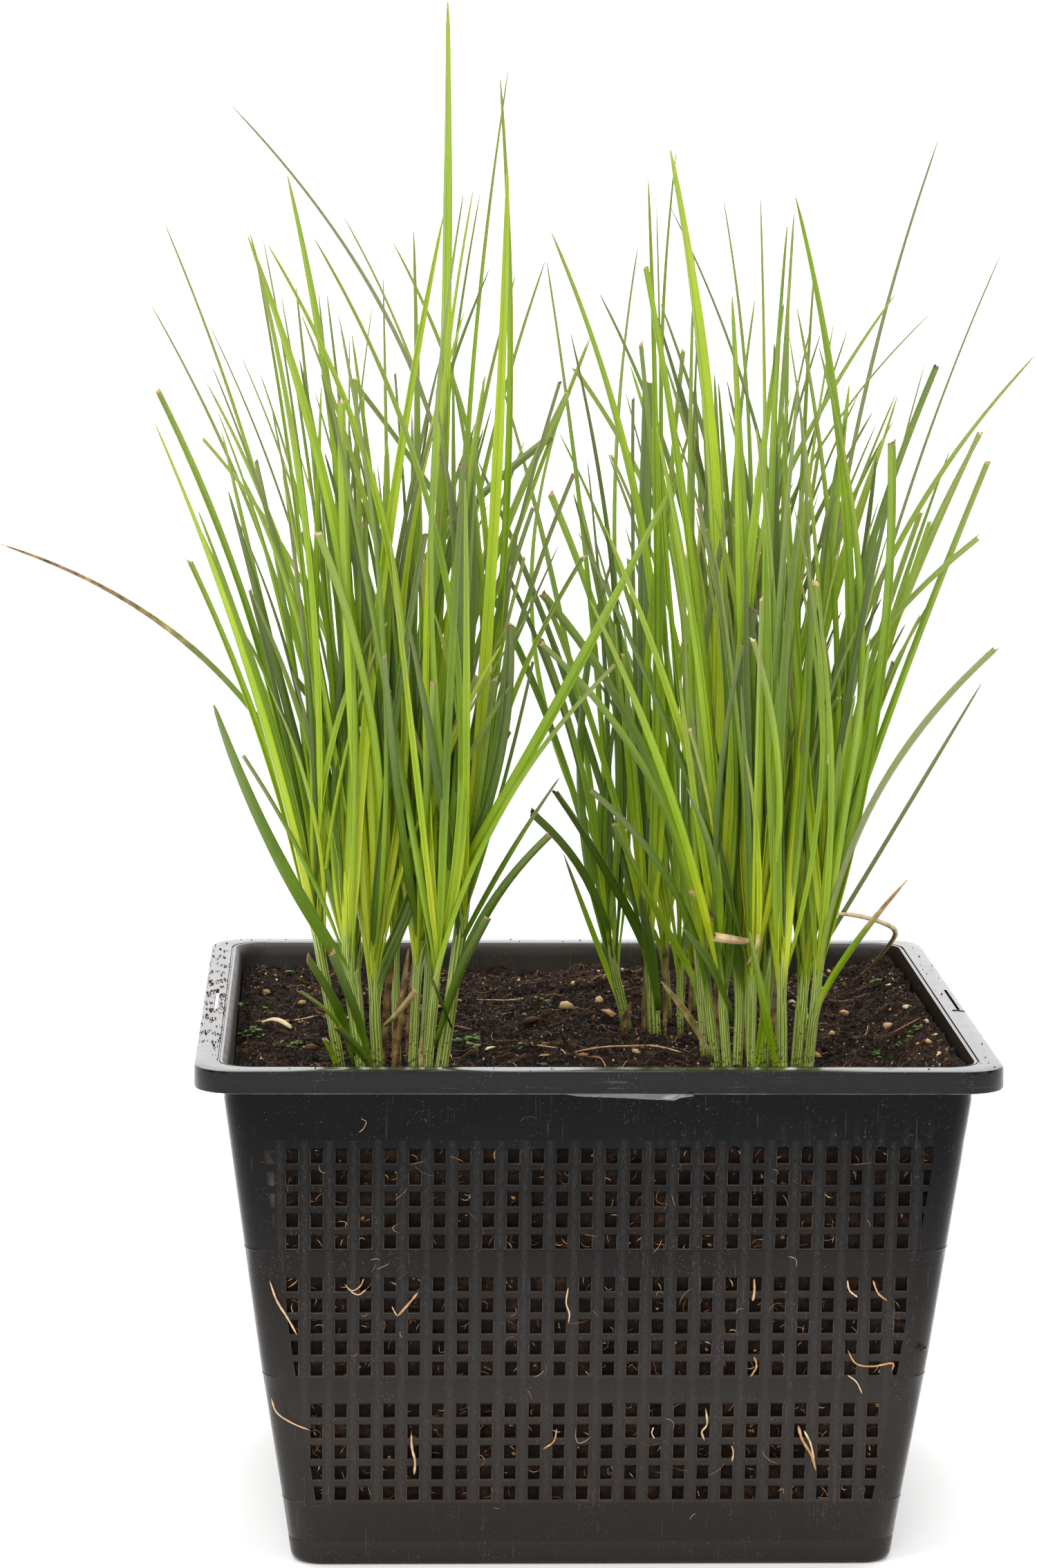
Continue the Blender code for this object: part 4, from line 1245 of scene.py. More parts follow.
def grow_face_roots():
    """Roots grown out through the mesh, lying on the front wall."""
    paths = []
    for points, radius in FACE_ROOTS:
        points = np.array(points, float) * MM
        stand = (0.5 * radius + 0.25) * MM
        out = np.array([-wall_half(height) - stand for height in points[:, 1]])
        paths.append((np.stack((points[:, 0], out, points[:, 1]), axis=1), radius * ROOT_SHARE))
    add_paths("roots_on_front", paths, SOIL_RANDOM.uniform(0.72, 0.98, len(paths)))


def stick_threads():
    """Hair-thin threads of root stuck to the walls."""
    sides = SOIL_RANDOM.integers(0, 4, WALL_THREADS)
    height = SOIL_RANDOM.uniform(14.0, 164.0, (WALL_THREADS, 1)) * MM
    place = SOIL_RANDOM.uniform(-96.0, 96.0, (WALL_THREADS, 1)) * MM
    aside, lift = bent_strands(crumb_sizes(WALL_THREADS, 2.5, 9.0, power=1.8), math.pi, 0.3, 6)
    radii = SOIL_RANDOM.uniform(0.05, 0.10, (WALL_THREADS, 1))
    stick_strands("threads_on_wall", sides, place + aside, height + lift, -0.12 * MM, radii, 0.45)


lay_straws()
grow_face_roots()
stick_threads()


# Crumbs left on the flange, in millimetres: where the thick drift on the left side lies, the
# rest of the flange, and the middle, half width and ends of the slot that is kept clear
DRIFT_CRUMBS, FEW_CRUMBS = 1500, 120
DRIFT_ACROSS, DRIFT_ALONG = (131.6, 139.6), (-128.0, 10.0, 136.0)
FLANGE_ACROSS, FLANGE_ALONG = (132.0, 139.0), (-134, 134)
SLOT_MIDDLE, SLOT_CLEARANCE, SLOT_ENDS = -135.25, 1.0, (-19.0, 26.0)


def scatter_on_rim():
    """Crumbs left on the flange: thick on the left side, few elsewhere."""
    x = -SOIL_RANDOM.uniform(*DRIFT_ACROSS, DRIFT_CRUMBS)
    y = SOIL_RANDOM.triangular(*DRIFT_ALONG, DRIFT_CRUMBS)
    patch = np.array([noise.noise(Vector((a / 5, b / 9, 2.0))) for a, b in zip(x, y)])
    place = SOIL_RANDOM.uniform(*FLANGE_ALONG, FEW_CRUMBS)
    out = SOIL_RANDOM.uniform(*FLANGE_ACROSS, FEW_CRUMBS)
    # The few lie on the right, front and back sides
    side = SOIL_RANDOM.integers(0, 3, FEW_CRUMBS)
    x = np.concatenate((x[patch > 0.02], np.where(side == 0, out, place)))
    across = np.where(side == 1, -out, out)
    y = np.concatenate((y[patch > 0.02], np.where(side == 0, place, across)))
    sizes = crumb_sizes(len(x), 0.12, 0.85)
    kept = (abs(x - SLOT_MIDDLE) > SLOT_CLEARANCE) | (y > SLOT_ENDS[1]) | (y < SLOT_ENDS[0])
    x, y, sizes = x[kept], y[kept], sizes[kept]
    places = np.stack((x * MM, y * MM, RIM_HEIGHT + sizes * 0.15), axis=1)
    # Crumbs on the flange get paler tones than those in the pot, as painted light
    tones = 0.36 + crumb_tones(len(x), 0.03) * 0.5
    add_crumbs("crumbs_on_flange", LUMP_SET, places, sizes, tones)


# A short dark split in the flange, beside the end of the right-hand slot, in millimetres; drawn as a dark
# strand on the flange, the painted shade of the crack
SPLIT = ((134.3, -20.4, 183.62), (136.6, -20.8, 183.6), (139.2, -22.6, 183.5))
# The torn flap, in millimetres: places along the front, how far it hangs there and how far it
# curls forward, and the underside of the skirt that it hangs from
FLAP_ALONG, FLAP_DEPTH = (-13, -8, 6, 18, 25, 27, 31.4), (0.2, 1.0, 1.5, 2.1, 2.3, 1.2, 0.5)
CURL_ALONG, CURL_FORWARD = (-13, 20, 27, 31.4), (0.1, 0.2, 1.2, 1.8)
FLAP_FRONT, FLAP_TOP = -139.55, 175.75


def mark_flange():
    """The split in the flange, drawn as a dark strand: painted shade of the crack."""
    split = curve_through(SPLIT, 8)[None] * MM
    mesh = join_strands("split_shade_in_flange", split, np.full((1, 8), 0.2 * MM), 4, tone=np.zeros(1))
    add_piece("split_shade_in_flange", mesh, fibre)


def build_torn_flap():
    """A curl of plastic torn from the underside of the front skirt."""
    bm = bmesh.new()
    across = np.linspace(FLAP_ALONG[0], FLAP_ALONG[-1], 40)
    ragged = [0.22 * noise.noise(Vector((place * 0.6, 0.0, 0.0))) for place in across]
    depth = np.interp(across, FLAP_ALONG, FLAP_DEPTH) + ragged
    curl = [0.35 * noise.noise(Vector((place * 0.16, 4.0, 0.0))) for place in across]
    curl = np.interp(across, CURL_ALONG, CURL_FORWARD) + curl
    rows = []
    for share in np.linspace(0.0, 1.0, 6):
        forward = FLAP_FRONT - curl * share ** 1.6
        rows.append(np.stack((across, forward, FLAP_TOP - depth * share), axis=1))
    place_grid(bm, np.array(rows) * MM)
    piece = add_piece("torn_flap", close_mesh("torn_flap", bm), whitened_plastic)
    thicken(piece, 0.35 * MM)


def build_wall_nub():
    """A small blob of plastic on the right-hand front edge of the wall."""
    place = np.array(((115.1, -116.9, 80.4),)) * MM
    sizes = np.array(((3.2, 2.2, 2.0),)) * MM
    mesh = lay_flat("wall_nub", place, sizes, (0.5,), 0.2)
    add_piece("wall_nub", mesh, polypropylene)


scatter_on_rim()
mark_flange()
build_torn_flap()
build_wall_nub()


# Sedge

# Leaves: cells across a blade and along each stretch of it, and the blade's keeled fold
CELLS_ACROSS = 6
SHEATH_ROLL = math.radians(140)
KEEL = 0.55
LEAF_THICKNESS = 0.22 * MM
PATH_STEP = 3.0 * MM
PATH_ROUNDING = 10
KEEP_EVERY = 2
SHEATH_OPENS = 15 * MM
SETTLE = 30 * MM
TONES = {"lime": 0.63, "mid": 0.5, "dark": 0.27, "grey": 0.36, "fading": 0.42}
# Older greens leave the shoot first, and the young lime leaves last and innermost
AGE_RANK = {"dark": 0, "grey": 0, "fading": 0, "mid": 1, "lime": 2}
# Width along a blade, as shares of its length and of its full width
WHOLE_SHAPE = (
    (0.0, 0.9), (0.12, 1.0), (0.45, 0.98), (0.65, 0.86), (0.8, 0.66), (0.9, 0.48), (0.97, 0.34),
    (1.0, 0.08),
)
CUT_SHAPE = ((0.0, 0.9), (0.12, 1.0), (0.42, 1.0), (0.72, 0.88), (1.0, 0.76))
BLADE_TURN_LEAST = math.radians(18.0)
BLADE_TURN_SPREAD = math.radians(34.0)
GOLDEN_SHARE = 0.618034

# Shoots as the source has them, in millimetres: foot on the soil, top of the sheaths,
# their width, and each leaf's tip, where it leaves the sheaths, its arch as a share of
# its length, its width, and its green, with "cut" where its tip is cut off.
SHOOTS = {
    "left_1": ((-89, -58), (-97, -64, 213), 4.1, (
        (-154, -90, 401, 0.96, 0.05, 3.2, "lime"), (-155, -40, 410, 0.96, 0.09, 2.7, "mid cut"),
        (-121, -110, 467, 0.96, 0.08, 1.9, "lime"), (-97, -72, 413, 0.96, 0.01, 3.4, "lime"),
    )),
    "left_2": ((-81, -70), (-87, -74, 207), 4.1, (
        (-133, -128, 308, 0.96, -0.06, 4.1, "dark"), (-153, -20, 468, 0.96, 0.08, 1.5, "mid"),
        (-109, -50, 486, 0.96, 0.08, 3.4, "lime"), (-83, -84, 366, 0.96, 0.00, 4.0, "mid cut"),
    )),
    "left_3": ((-76, -62), (-78, -64, 200), 3.9, (
        (-128, -60, 510, 0.96, 0.35, 1.7, "grey"), (-115, -100, 463, 0.96, 0.21, 2.9, "lime"),
        (-74, -80, 395, 0.96, -0.01, 4.1, "mid"), (-46, -72, 386, 0.96, -0.14, 4.6, "dark cut"),
    )),
    "left_4": ((-64, -60), (-62, -60, 211), 3.4, (
        (-89, -30, 471, 0.96, 0.22, 1.9, "mid"), (-53, -50, 547, 0.96, -0.02, 4.1, "mid"),
        (-31, -92, 332, 0.96, -0.15, 4.4, "dark cut"), (22, -120, 381, 0.94, -0.02, 3.4, "mid"),
        (-10, -58, 411, 0.96, 0.11, 2.7, "mid cut"),
    )),
    "left_5": ((-59, -72), (-56, -76, 202), 3.4, (
        (-99, -130, 466, 0.96, 0.19, 2.2, "mid"), (-45, -96, 482, 0.96, 0.07, 2.4, "lime"),
        (-29, -60, 452, 0.96, 0.08, 1.9, "mid"), (5, -100, 319, 0.96, 0.14, 2.2, "mid cut"),
    )),
    "left_6": ((-54, -62), (-47, -66, 220), 4.9, (
        (-50, -168, 482, 0.96, -0.08, 2.2, "mid"), (-31, -28, 523, 0.96, 0.05, 2.2, "mid"),
        (-35, -66, 520, 0.96, -0.06, 2.4, "mid"), (-14, -104, 280, 0.83, 0.04, 1.9, "dark"),
        (-16, -80, 257, 0.64, 0.13, 3.4, "dark cut"),
    )),
    "left_7": ((-81, -42), (-84, -36, 202), 2.9, (
        (-214, 6, 351, 0.96, 0.31, 2.0, "fading"), (-159, 10, 438, 0.96, 0.11, 1.5, "mid"),
        (-140, -10, 391, 0.96, 0.24, 2.2, "mid cut"), (-12, 30, 390, 0.96, 0.32, 2.9, "dark cut"),
    )),
    "left_8": ((-69, -40), (-70, -34, 205), 3.2, (
        (-71, 20, 461, 0.96, 0.27, 2.2, "mid"), (-64, -10, 466, 0.96, -0.03, 2.9, "mid"),
        (3, 50, 425, 0.96, 0.03, 2.2, "lime"),
    )),
    "left_9": ((-60, -44), (-57, -34, 206), 3.2, (
        (-40, 0, 479, 0.96, 0.06, 1.9, "mid"), (-38, -46, 453, 0.96, 0.17, 2.8, "dark"),
        (-13, 78, 453, 0.96, 0.08, 1.9, "mid"), (-29, -40, 289, 0.96, 0.10, 2.9, "dark cut"),
    )),
    "middle_1": ((18, 14), (11, 4, 197), 3.6, (
        (-20, -10, 255, 0.91, 0.20, 2.9, "dark cut"), (-7, 14, 236, 0.40, -0.01, 1.9, "mid"),
        (-29, 70, 406, 0.96, 0.05, 1.9, "mid"), (-14, 40, 454, 0.81, 0.03, 2.2, "mid"),
    )),
    "middle_2": ((27, 5), (25, 0, 198), 4.9, (
        (-12, -26, 264, 0.96, 0.05, 4.1, "dark cut"), (-13, 20, 465, 0.91, 0.14, 2.9, "lime"),
        (20, -16, 485, 0.96, 0.02, 2.9, "mid"), (24, 36, 410, 0.82, -0.02, 3.9, "dark cut"),
    )),
    "middle_3": ((37, 11), (36, 8, 195), 2.2, (
        (7, 60, 441, 0.96, 0.19, 3.2, "dark"),
    )),
    "middle_4": ((44, 44), (43, 36, 192), 2.2, (
        (0, 110, 411, 0.96, 0.22, 2.4, "mid cut"), (53, 60, 476, 0.96, -0.11, 2.2, "mid"),
    )),
    "middle_5": ((34, 34), (32, 30, 195), 2.9, (
        (23, 96, 458, 0.96, -0.10, 1.7, "mid"), (4, 80, 424, 0.94, -0.30, 2.2, "mid"),
    )),
    "right_1": ((46, -54), (41, -58, 203), 3.6, (
        (-20, -84, 325, 0.96, 0.19, 2.7, "mid cut"), (-3, -96, 275, 0.78, 0.17, 2.4, "dark cut"),
        (25, -60, 496, 0.96, 0.08, 5.0, "lime"),
    )),
    "right_2": ((49, -66), (46, -68, 201), 3.2, (
        (49, -104, 327, 0.96, 0.08, 2.9, "dark cut"), (42, -82, 257, 0.96, 0.14, 3.4, "dark cut"),
        (18, -110, 402, 0.96, 0.05, 2.9, "lime"),
    )),
    "right_3": ((53, -54), (54, -54, 195), 3.4, (
        (29, -30, 495, 0.96, -0.10, 2.2, "mid"), (54, -90, 338, 0.96, -0.08, 4.1, "dark cut"),
    )),
    "right_4": ((57, -68), (57, -70, 202), 3.2, (
        (52, -118, 480, 0.96, 0.02, 2.2, "mid"), (64, -82, 335, 0.96, -0.05, 3.2, "mid cut"),
        (46, -96, 430, 0.96, -0.01, 3.2, "lime"),
    )),
    "right_5": ((63, -54), (63, -52, 207), 3.4, (
        (28, -20, 475, 0.94, 0.18, 1.9, "dark"), (68, -50, 449, 0.96, -0.01, 2.7, "mid"),
    )),
    "right_6": ((68, -70), (67, -74, 198), 4.1, (
        (61, -120, 471, 0.96, -0.04, 3.3, "mid"), (89, -60, 414, 0.96, 0.00, 3.9, "lime"),
        (76, -84, 347, 0.92, 0.00, 4.4, "lime cut"),
    )),
    "right_7": ((74, -58), (76, -60, 198), 4.4, (
        (144, -40, 459, 0.96, 0.08, 1.7, "grey"), (118, -76, 422, 0.96, 0.10, 3.4, "dark cut"),
        (99, -44, 363, 0.92, -0.01, 3.6, "lime"),
    )),
    "right_8": ((77, -68), (80, -72, 206), 3.6, (
        (68, -74, 480, 0.96, 0.11, 3.4, "mid"), (100, -100, 397, 0.96, -0.08, 3.2, "mid cut"),
        (138, -96, 325, 0.87, 0.19, 2.4, "grey cut"), (109, -92, 243, 0.73, 0.05, 2.7, "fading"),
    )),
    "right_9": ((43, -30), (41, -24, 200), 2.9, (
        (-16, 0, 334, 0.96, 0.16, 2.9, "mid cut"), (9, -40, 255, 0.83, -0.04, 2.4, "mid cut"),
        (110, -10, 444, 0.96, 0.18, 3.3, "mid"),
    )),
    "right_10": ((57, -36), (58, -28, 203), 3.2, (
        (74, 0, 473, 0.96, 0.00, 1.9, "mid"), (115, 20, 406, 0.96, 0.02, 2.2, "lime"),
        (59, -14, 442, 0.93, 0.07, 2.2, "lime"),
    )),
    "right_11": ((67, -38), (69, -30, 206), 3.2, (
        (123, -6, 437, 0.96, 0.32, 1.7, "mid"), (143, 0, 394, 0.93, 0.03, 2.4, "mid cut"),
        (137, -52, 360, 0.87, 0.26, 2.4, "mid cut"),
    )),
    "right_12": ((76, -40), (80, -30, 203), 2.9, (
        (130, 36, 499, 0.96, 0.09, 1.7, "grey"), (160, -20, 423, 0.96, 0.21, 1.9, "mid"),
        (140, -50, 387, 0.93, 0.02, 2.2, "mid cut"), (143, -20, 304, 0.86, 0.00, 1.7, "grey"),
    )),
}

# Short leaves, stubs and dead stalks low in each shoot, in millimetres: path, width, and green
# or dry colour, with "cut" where the tip is cut off.
LOW_LEAVES = {
    "left_1": (
        (((-90, -70, 168), (-91, -72, 175), (-95, -78, 183)), 3.4, "lime cut"),
        (((-84, -62, 170), (-90, -72, 193), (-101, -84, 213)), 3.8, "dark cut"),
    ),
    "left_2": (
        (((-78, -72, 170), (-83, -78, 190), (-93, -86, 216)), 3.2, "dark cut"),
        (((-84, -72, 176), (-92, -84, 193), (-104, -92, 203)), 1.8, "mid cut"),
    ),
    "left_3": (
        (((-76, -72, 166), (-81, -80, 178), (-91, -90, 190)), 3.4, "dark cut"),
        (((-71, -68, 168), (-70, -70, 180), (-67, -72, 190)), 3.4, "dead cut"),
    ),
    "left_4": (
        (((-74, -52, 168), (-73, -52, 192), (-70, -54, 222)), 3.0, "dead"),
        (((-69, -50, 168), (-68, -50, 189), (-65, -48, 212)), 2.6, "dead"),
    ),
    "left_5": (
        (((-74, -78, 188), (-68, -86, 195), (-63, -90, 203)), 2.8, "orange cut"),
        (((-56, -74, 180), (-48, -80, 207), (-38, -90, 229)), 3.4, "dark cut"),
        (((-71, -62, 168), (-70, -64, 190), (-65, -68, 206)), 1.6, "dead"),
    ),
    "left_6": (
        (((-50, -72, 186), (-55, -86, 200), (-60, -90, 213)), 1.4, "dark"),
        (((-61, -72, 167), (-61, -74, 176), (-61, -75, 184)), 3.2, "orange"),
    ),
    "left_8": (
        (((-66, -46, 168), (-64, -46, 196), (-60, -44, 232)), 2.2, "dead"),
    ),
    "middle_1": (
        (((14, 8, 168), (16, 5, 175), (18, 5, 182)), 4.2, "dead"),
    ),
    "middle_2": (
        (((28, -2, 180), (24, -6, 205), (20, -10, 226)), 4.6, "dark"),
        (((23, 6, 168), (23, 4, 185), (24, 2, 200)), 2.4, "dead cut"),
    ),
    "middle_3": (
        (((31, 8, 168), (31, 8, 186), (31, 8, 202)), 2.6, "dead cut"),
        (((40, 14, 168), (41, 12, 190), (43, 10, 216)), 1.8, "dead"),
    ),
    "middle_5": (
        (((39, 30, 168), (39, 28, 184), (40, 26, 206)), 2.2, "orange"),
    ),
    "right_1": (
        (((44, -62, 172), (36, -70, 188), (24, -78, 204)), 2.8, "orange"),
        (((34, -74, 236), (39, -77, 233), (42, -78, 226)), 3.2, "dead cut"),
    ),
    "right_2": (
        (((50, -74, 190), (41, -84, 212), (30, -94, 226)), 3.0, "dark"),
        (((56, -76, 218), (50, -86, 220), (42, -84, 221)), 4.4, "straw cut"),
        (((58, -80, 221), (58, -84, 217), (55, -82, 212)), 3.2, "orange cut"),
    ),
    "right_3": (
        (((56, -50, 168), (55, -48, 188), (53, -46, 212)), 2.4, "dead"),
    ),
    "right_4": (
        (((57, -76, 166), (60, -80, 188), (62, -84, 214)), 3.0, "mid"),
    ),
    "right_5": (
        (((66, -52, 168), (66, -50, 186), (68, -48, 204)), 2.6, "dead"),
    ),
    "right_6": (
        (((66, -78, 168), (60, -86, 196), (54, -90, 224)), 3.2, "mid"),
    ),
    "right_7": (
        (((77, -62, 168), (77, -64, 176), (78, -65, 186)), 3.8, "dead cut"),
    ),
    "right_8": (
        (
            ((84, -40, 222), (94, -30, 221), (108, -10, 215), (117, 10, 208),
             (117, 50, 194), (115, 85, 181), (112, 100, 175)),
            1.8, "straw",
        ),
    ),
    "right_9": (
        (((48, -36, 168), (47, -34, 190), (47, -32, 222)), 2.0, "dead"),
    ),
}
# Leaves measured on the photo between those of the source, in millimetres, by their shoot:
# tip, arch as a share of their length, width, and green, with "cut" where the tip is cut off.
MORE_LEAVES = {
    "left_1": (
        (-117, -80, 464, 0.06, 1.4, "mid"), (-119, -90, 456, 0.05, 1.7, "mid"),
        (-110, -70, 385, 0.03, 1.9, "lime cut"), (-120, -50, 386, 0.05, 1.5, "mid cut"),
        (-141, -80, 368, 0.08, 2.2, "mid"), (-133, -60, 403, 0.10, 1.9, "mid"),
        (-122, -60, 341, 0.04, 2.4, "dark cut"),
    ),
    "left_2": (
        (-111, -60, 444, 0.04, 1.5, "mid"), (-106, -50, 447, 0.02, 1.7, "mid"),
        (-119, -20, 415, 0.10, 1.5, "lime"), (-79, -40, 440, 0.05, 1.2, "mid"),
        (-87, -30, 428, 0.00, 1.0, "mid"), (-98, -50, 445, 0.03, 1.7, "mid"),
        (-55, -90, 473, 0.04, 3.8, "lime"),
    ),
    "left_3": (
        (-122, -100, 466, 0.10, 4.0, "lime"), (-90, -100, 410, -0.02, 4.2, "lime cut"),
        (-92, -85, 365, 0.02, 3.0, "mid cut"), (-85, -60, 416, 0.00, 2.2, "lime cut"),
        (-82, -40, 411, 0.00, 1.5, "lime"), (-95, -50, 444, 0.03, 2.2, "mid"),
        (-61, -110, 365, 0.03, 2.8, "dark cut"),
    ),
    "left_4": (
        (-97, -60, 417, 0.03, 2.2, "dark"), (-71, -50, 417, 0.02, 1.5, "dark cut"),
        (-75, -115, 324, -0.02, 3.1, "dark cut"), (-58, -110, 314, 0.00, 2.8, "mid cut"),
        (-40, -80, 418, 0.02, 3.4, "lime"),
    ),
    "left_5": (
        (-13, -60, 415, 0.05, 1.5, "dark cut"),
    ),
    "left_6": (
        (-48, -105, 388, 0.00, 4.5, "dark cut"), (-67, -122, 336, 0.02, 3.1, "dark"),
        (-33, -92, 490, -0.02, 4.1, "lime"), (-30, -78, 331, -0.03, 3.6, "dark cut"),
        (-36, -80, 312, 0.00, 2.4, "mid cut"), (-7, -40, 381, 0.08, 1.7, "dark cut"),
        (-25, -60, 353, 0.05, 1.9, "lime cut"), (-2, -20, 350, 0.12, 2.0, "mid cut"),
    ),
    "left_7": (
        (-137, -20, 432, 0.12, 1.0, "grey"), (-126, 0, 420, 0.12, 1.3, "mid"),
    ),
    "left_8": (
        (-75, -20, 449, 0.00, 2.0, "lime"), (-44, -60, 389, 0.05, 1.9, "mid cut"),
    ),
    "middle_1": (
        (-29, 0, 341, 0.10, 2.3, "dark cut"), (-86, 60, 409, 0.13, 2.3, "dark cut"),
        (-17, -10, 319, 0.08, 2.0, "mid cut"),
    ),
    "middle_2": (
        (-39, 40, 380, 0.05, 2.3, "dark"), (-16, 0, 335, 0.06, 2.3, "mid cut"),
        (18, 30, 404, -0.02, 1.5, "dark cut"), (24, 0, 475, 0.02, 1.3, "mid"),
        (35, 10, 423, 0.03, 2.0, "mid cut"),
    ),
    "middle_3": (
        (20, 20, 425, 0.02, 2.0, "mid cut"),
    ),
    "right_1": (
        (35, -40, 458, 0.03, 2.0, "mid"),
    ),
    "right_2": (
        (15, -90, 456, 0.04, 3.8, "mid cut"), (62, -100, 444, 0.03, 3.1, "lime"),
        (-5, -125, 344, 0.06, 2.8, "lime"),
    ),
    "right_3": (
        (0, -120, 369, 0.06, 2.8, "lime"),
    ),
    "right_4": (
        (79, -60, 394, 0.02, 1.9, "lime cut"), (-8, -100, 365, 0.05, 2.4, "dark"),
    ),
    "right_5": (
        (45, -90, 446, 0.00, 3.6, "mid"),
    ),
    "right_6": (
        (83, -60, 435, 0.05, 2.2, "lime"),
    ),
    "right_7": (
        (78, -40, 455, 0.03, 2.0, "mid"), (112, -90, 336, 0.08, 2.9, "mid"),
    ),
    "right_8": (
        (119, -30, 420, 0.05, 1.2, "mid"), (104, -80, 318, 0.05, 1.9, "dark cut"),
    ),
    "right_9": (
        (93, -10, 431, 0.05, 1.5, "mid"),
    ),
    "right_10": (
        (111, -10, 408, 0.08, 1.8, "mid"),
    ),
    "right_12": (
        (140, -30, 396, 0.10, 1.7, "lime cut"),
    ),
}
LOW_TONES = {**TONES, "orange": 0.5, "dead": 0.3, "straw": 0.6}
DRYNESS = {"orange": 0.75, "dead": 1.0, "straw": 1.0}
LEAF_VALUES = ("across", "fade", "tone", "sheath", "dry")
# Leaves turn grey green towards their tips, the thin ones more: how much, from which share of
# the blade, and over which shares a grey leaf turns and a fading one withers
FADE = 0.7
FADE_FROM, GREY_OVER, WITHERED_OVER = 0.45, 0.4, 0.4
FADE_WIDTHS, FADE_SHARES = (1.5 * MM, 3.2 * MM), (1.0, 0.38)
# The tan line at a cut, at its thickest, and the green's last row before it
CUT_TAN, CUT_GREEN = 1.0 * MM, 0.5 * MM
# How much brighter a leaf is at its foot: the tones from which it is so, brightest first, and
# the share of the blade over which that ends
FOOT_BRIGHT, FOOT_OVER = ((0.56, 0.34), (0.3, 0.22), (-1.0, 0.08)), 0.4
# A sheath's paleness ends earlier at its edges than in its middle: where across it starts to end
# at the opening, how far that moves from the middle to an edge, and the length that it takes
PALE_ACROSS, PALE_RUN, PALE_END = 0.4, 9 * MM, 7 * MM
# Leaves of a shoot: how much later the younger ones leave it, how far that strays, and how much
# tighter they are rolled by their age and by their order
LATER_BY, LATER_STRAY, TIGHTER_BY_AGE, TIGHTER_BY_ORDER = 0.13, 0.10, 0.08, 0.03
ROLL_WIDEST, SHEATH_OVERLAP = 1.02, 1.02
# A leaf that leaves its shoot above this share of its height is one of those at its top
TOP_LEAVING = 0.9

# Random spreads: of a leaf's tone, and in radians of how a blade is turned and twists
TONE_SPREAD, THIN_TONE_SPREAD = 0.07, 0.15
MORE_TURN, THIN_TURN, LOW_TURN, TWIST = 0.7, 0.9, 0.5, 0.5
# A blade's width wavers by a share of itself, and a cut is slanted and ragged by others
WAVER, WAVER_RATE = 0.05, 90
CUT_SLANT, CUT_RAGGED = 0.5, 0.12
# Shares of a shoot's height: where leaves without a sheath leave it at the lowest, where those
# of MORE_LEAVES and the thin ones leave it at the highest, and how far they stray in its girth
FREE_LOWEST, MORE_HIGHEST, THIN_HIGHEST = 0.9, 1.15, 1.3
MORE_STRAY, THIN_STRAY = 0.5, 0.6

# Thin leaves between those of the table
THIN_LEAVES = {"left": 14, "middle": 8, "right": 12}
THIN_GREENS = ("lime", "lime", "mid", "mid", "mid", "dark", "dark")
THIN_REACH = (0.36, 0.90)
THIN_WIDTHS = (1.3, 3.1)
THIN_ARCH = (-0.03, 0.16)
THIN_SPREAD = (7.0, 14.0, 6.0)
HIGHEST_CUT, CUT_SHARE = 0.38, 0.3
# How much narrower a leaf is where it comes out of its shoot, and how soon it widens
NECK, NECK_LENGTH = 0.5, 25 * MM
# A leaf without a sheath of its own starts inside the shoot: this share of the way up it, and
# hidden for this length
HIDDEN_START, HIDDEN_LENGTH = 0.7, 20 * MM
# The lowest tips that thin leaves aim for, and the box that their tips stay in, in millimetres
LOWEST_TARGET = 380
THIN_BOX = ((-150.0, -158.0, 190.0), (140.0, 132.0, 446.0))


def resample(points, places, wanted):
    """A path's points at other distances along it."""
    return np.stack([np.interp(wanted, places, points[:, k]) for k in range(3)], axis=1)


def even_path(points):
    """Points evenly spaced along a path, with its corners rounded."""
    lengths = np.concatenate(((0.0,), np.cumsum(np.linalg.norm(np.diff(points, axis=0), axis=1))))
    count = max(6, int(lengths[-1] / PATH_STEP))
    places = np.linspace(0.0, lengths[-1], count + 1)
    path = resample(points, lengths, places)
    for _ in range(PATH_ROUNDING):
        path[1:-1] = (path[:-2] + 2 * path[1:-1] + path[2:]) / 4
    kept = np.unique(np.append(np.arange(0, count + 1, KEEP_EVERY), count))
    return path[kept], places[kept]


def leaf_path(foot, start, tip, bow, rows):
    """A leaf's middle line: straight to its start, then arched up by a share of its length."""
    chord = tip - start
    upward = unit(np.array((-chord[2], 0.0, chord[0])))
    if upward[2] < 0:
        upward = -upward
    bend = (start + tip) / 2 + upward * bow * np.linalg.norm(chord)
    share = np.linspace(0.0, 1.0, 60)[:, None]
    arch = (1 - share) ** 2 * start + 2 * share * (1 - share) * bend + share ** 2 * tip
    return np.vstack((foot + (start - foot) * np.linspace(0.0, 1.0, rows)[:-1, None], arch))


def blade_turn(number):
    """Angle between a blade's broad side and the front, as in the source."""
    share = number * GOLDEN_SHARE % 1.0
    return math.copysign(BLADE_TURN_LEAST + BLADE_TURN_SPREAD * share, share - 0.5)


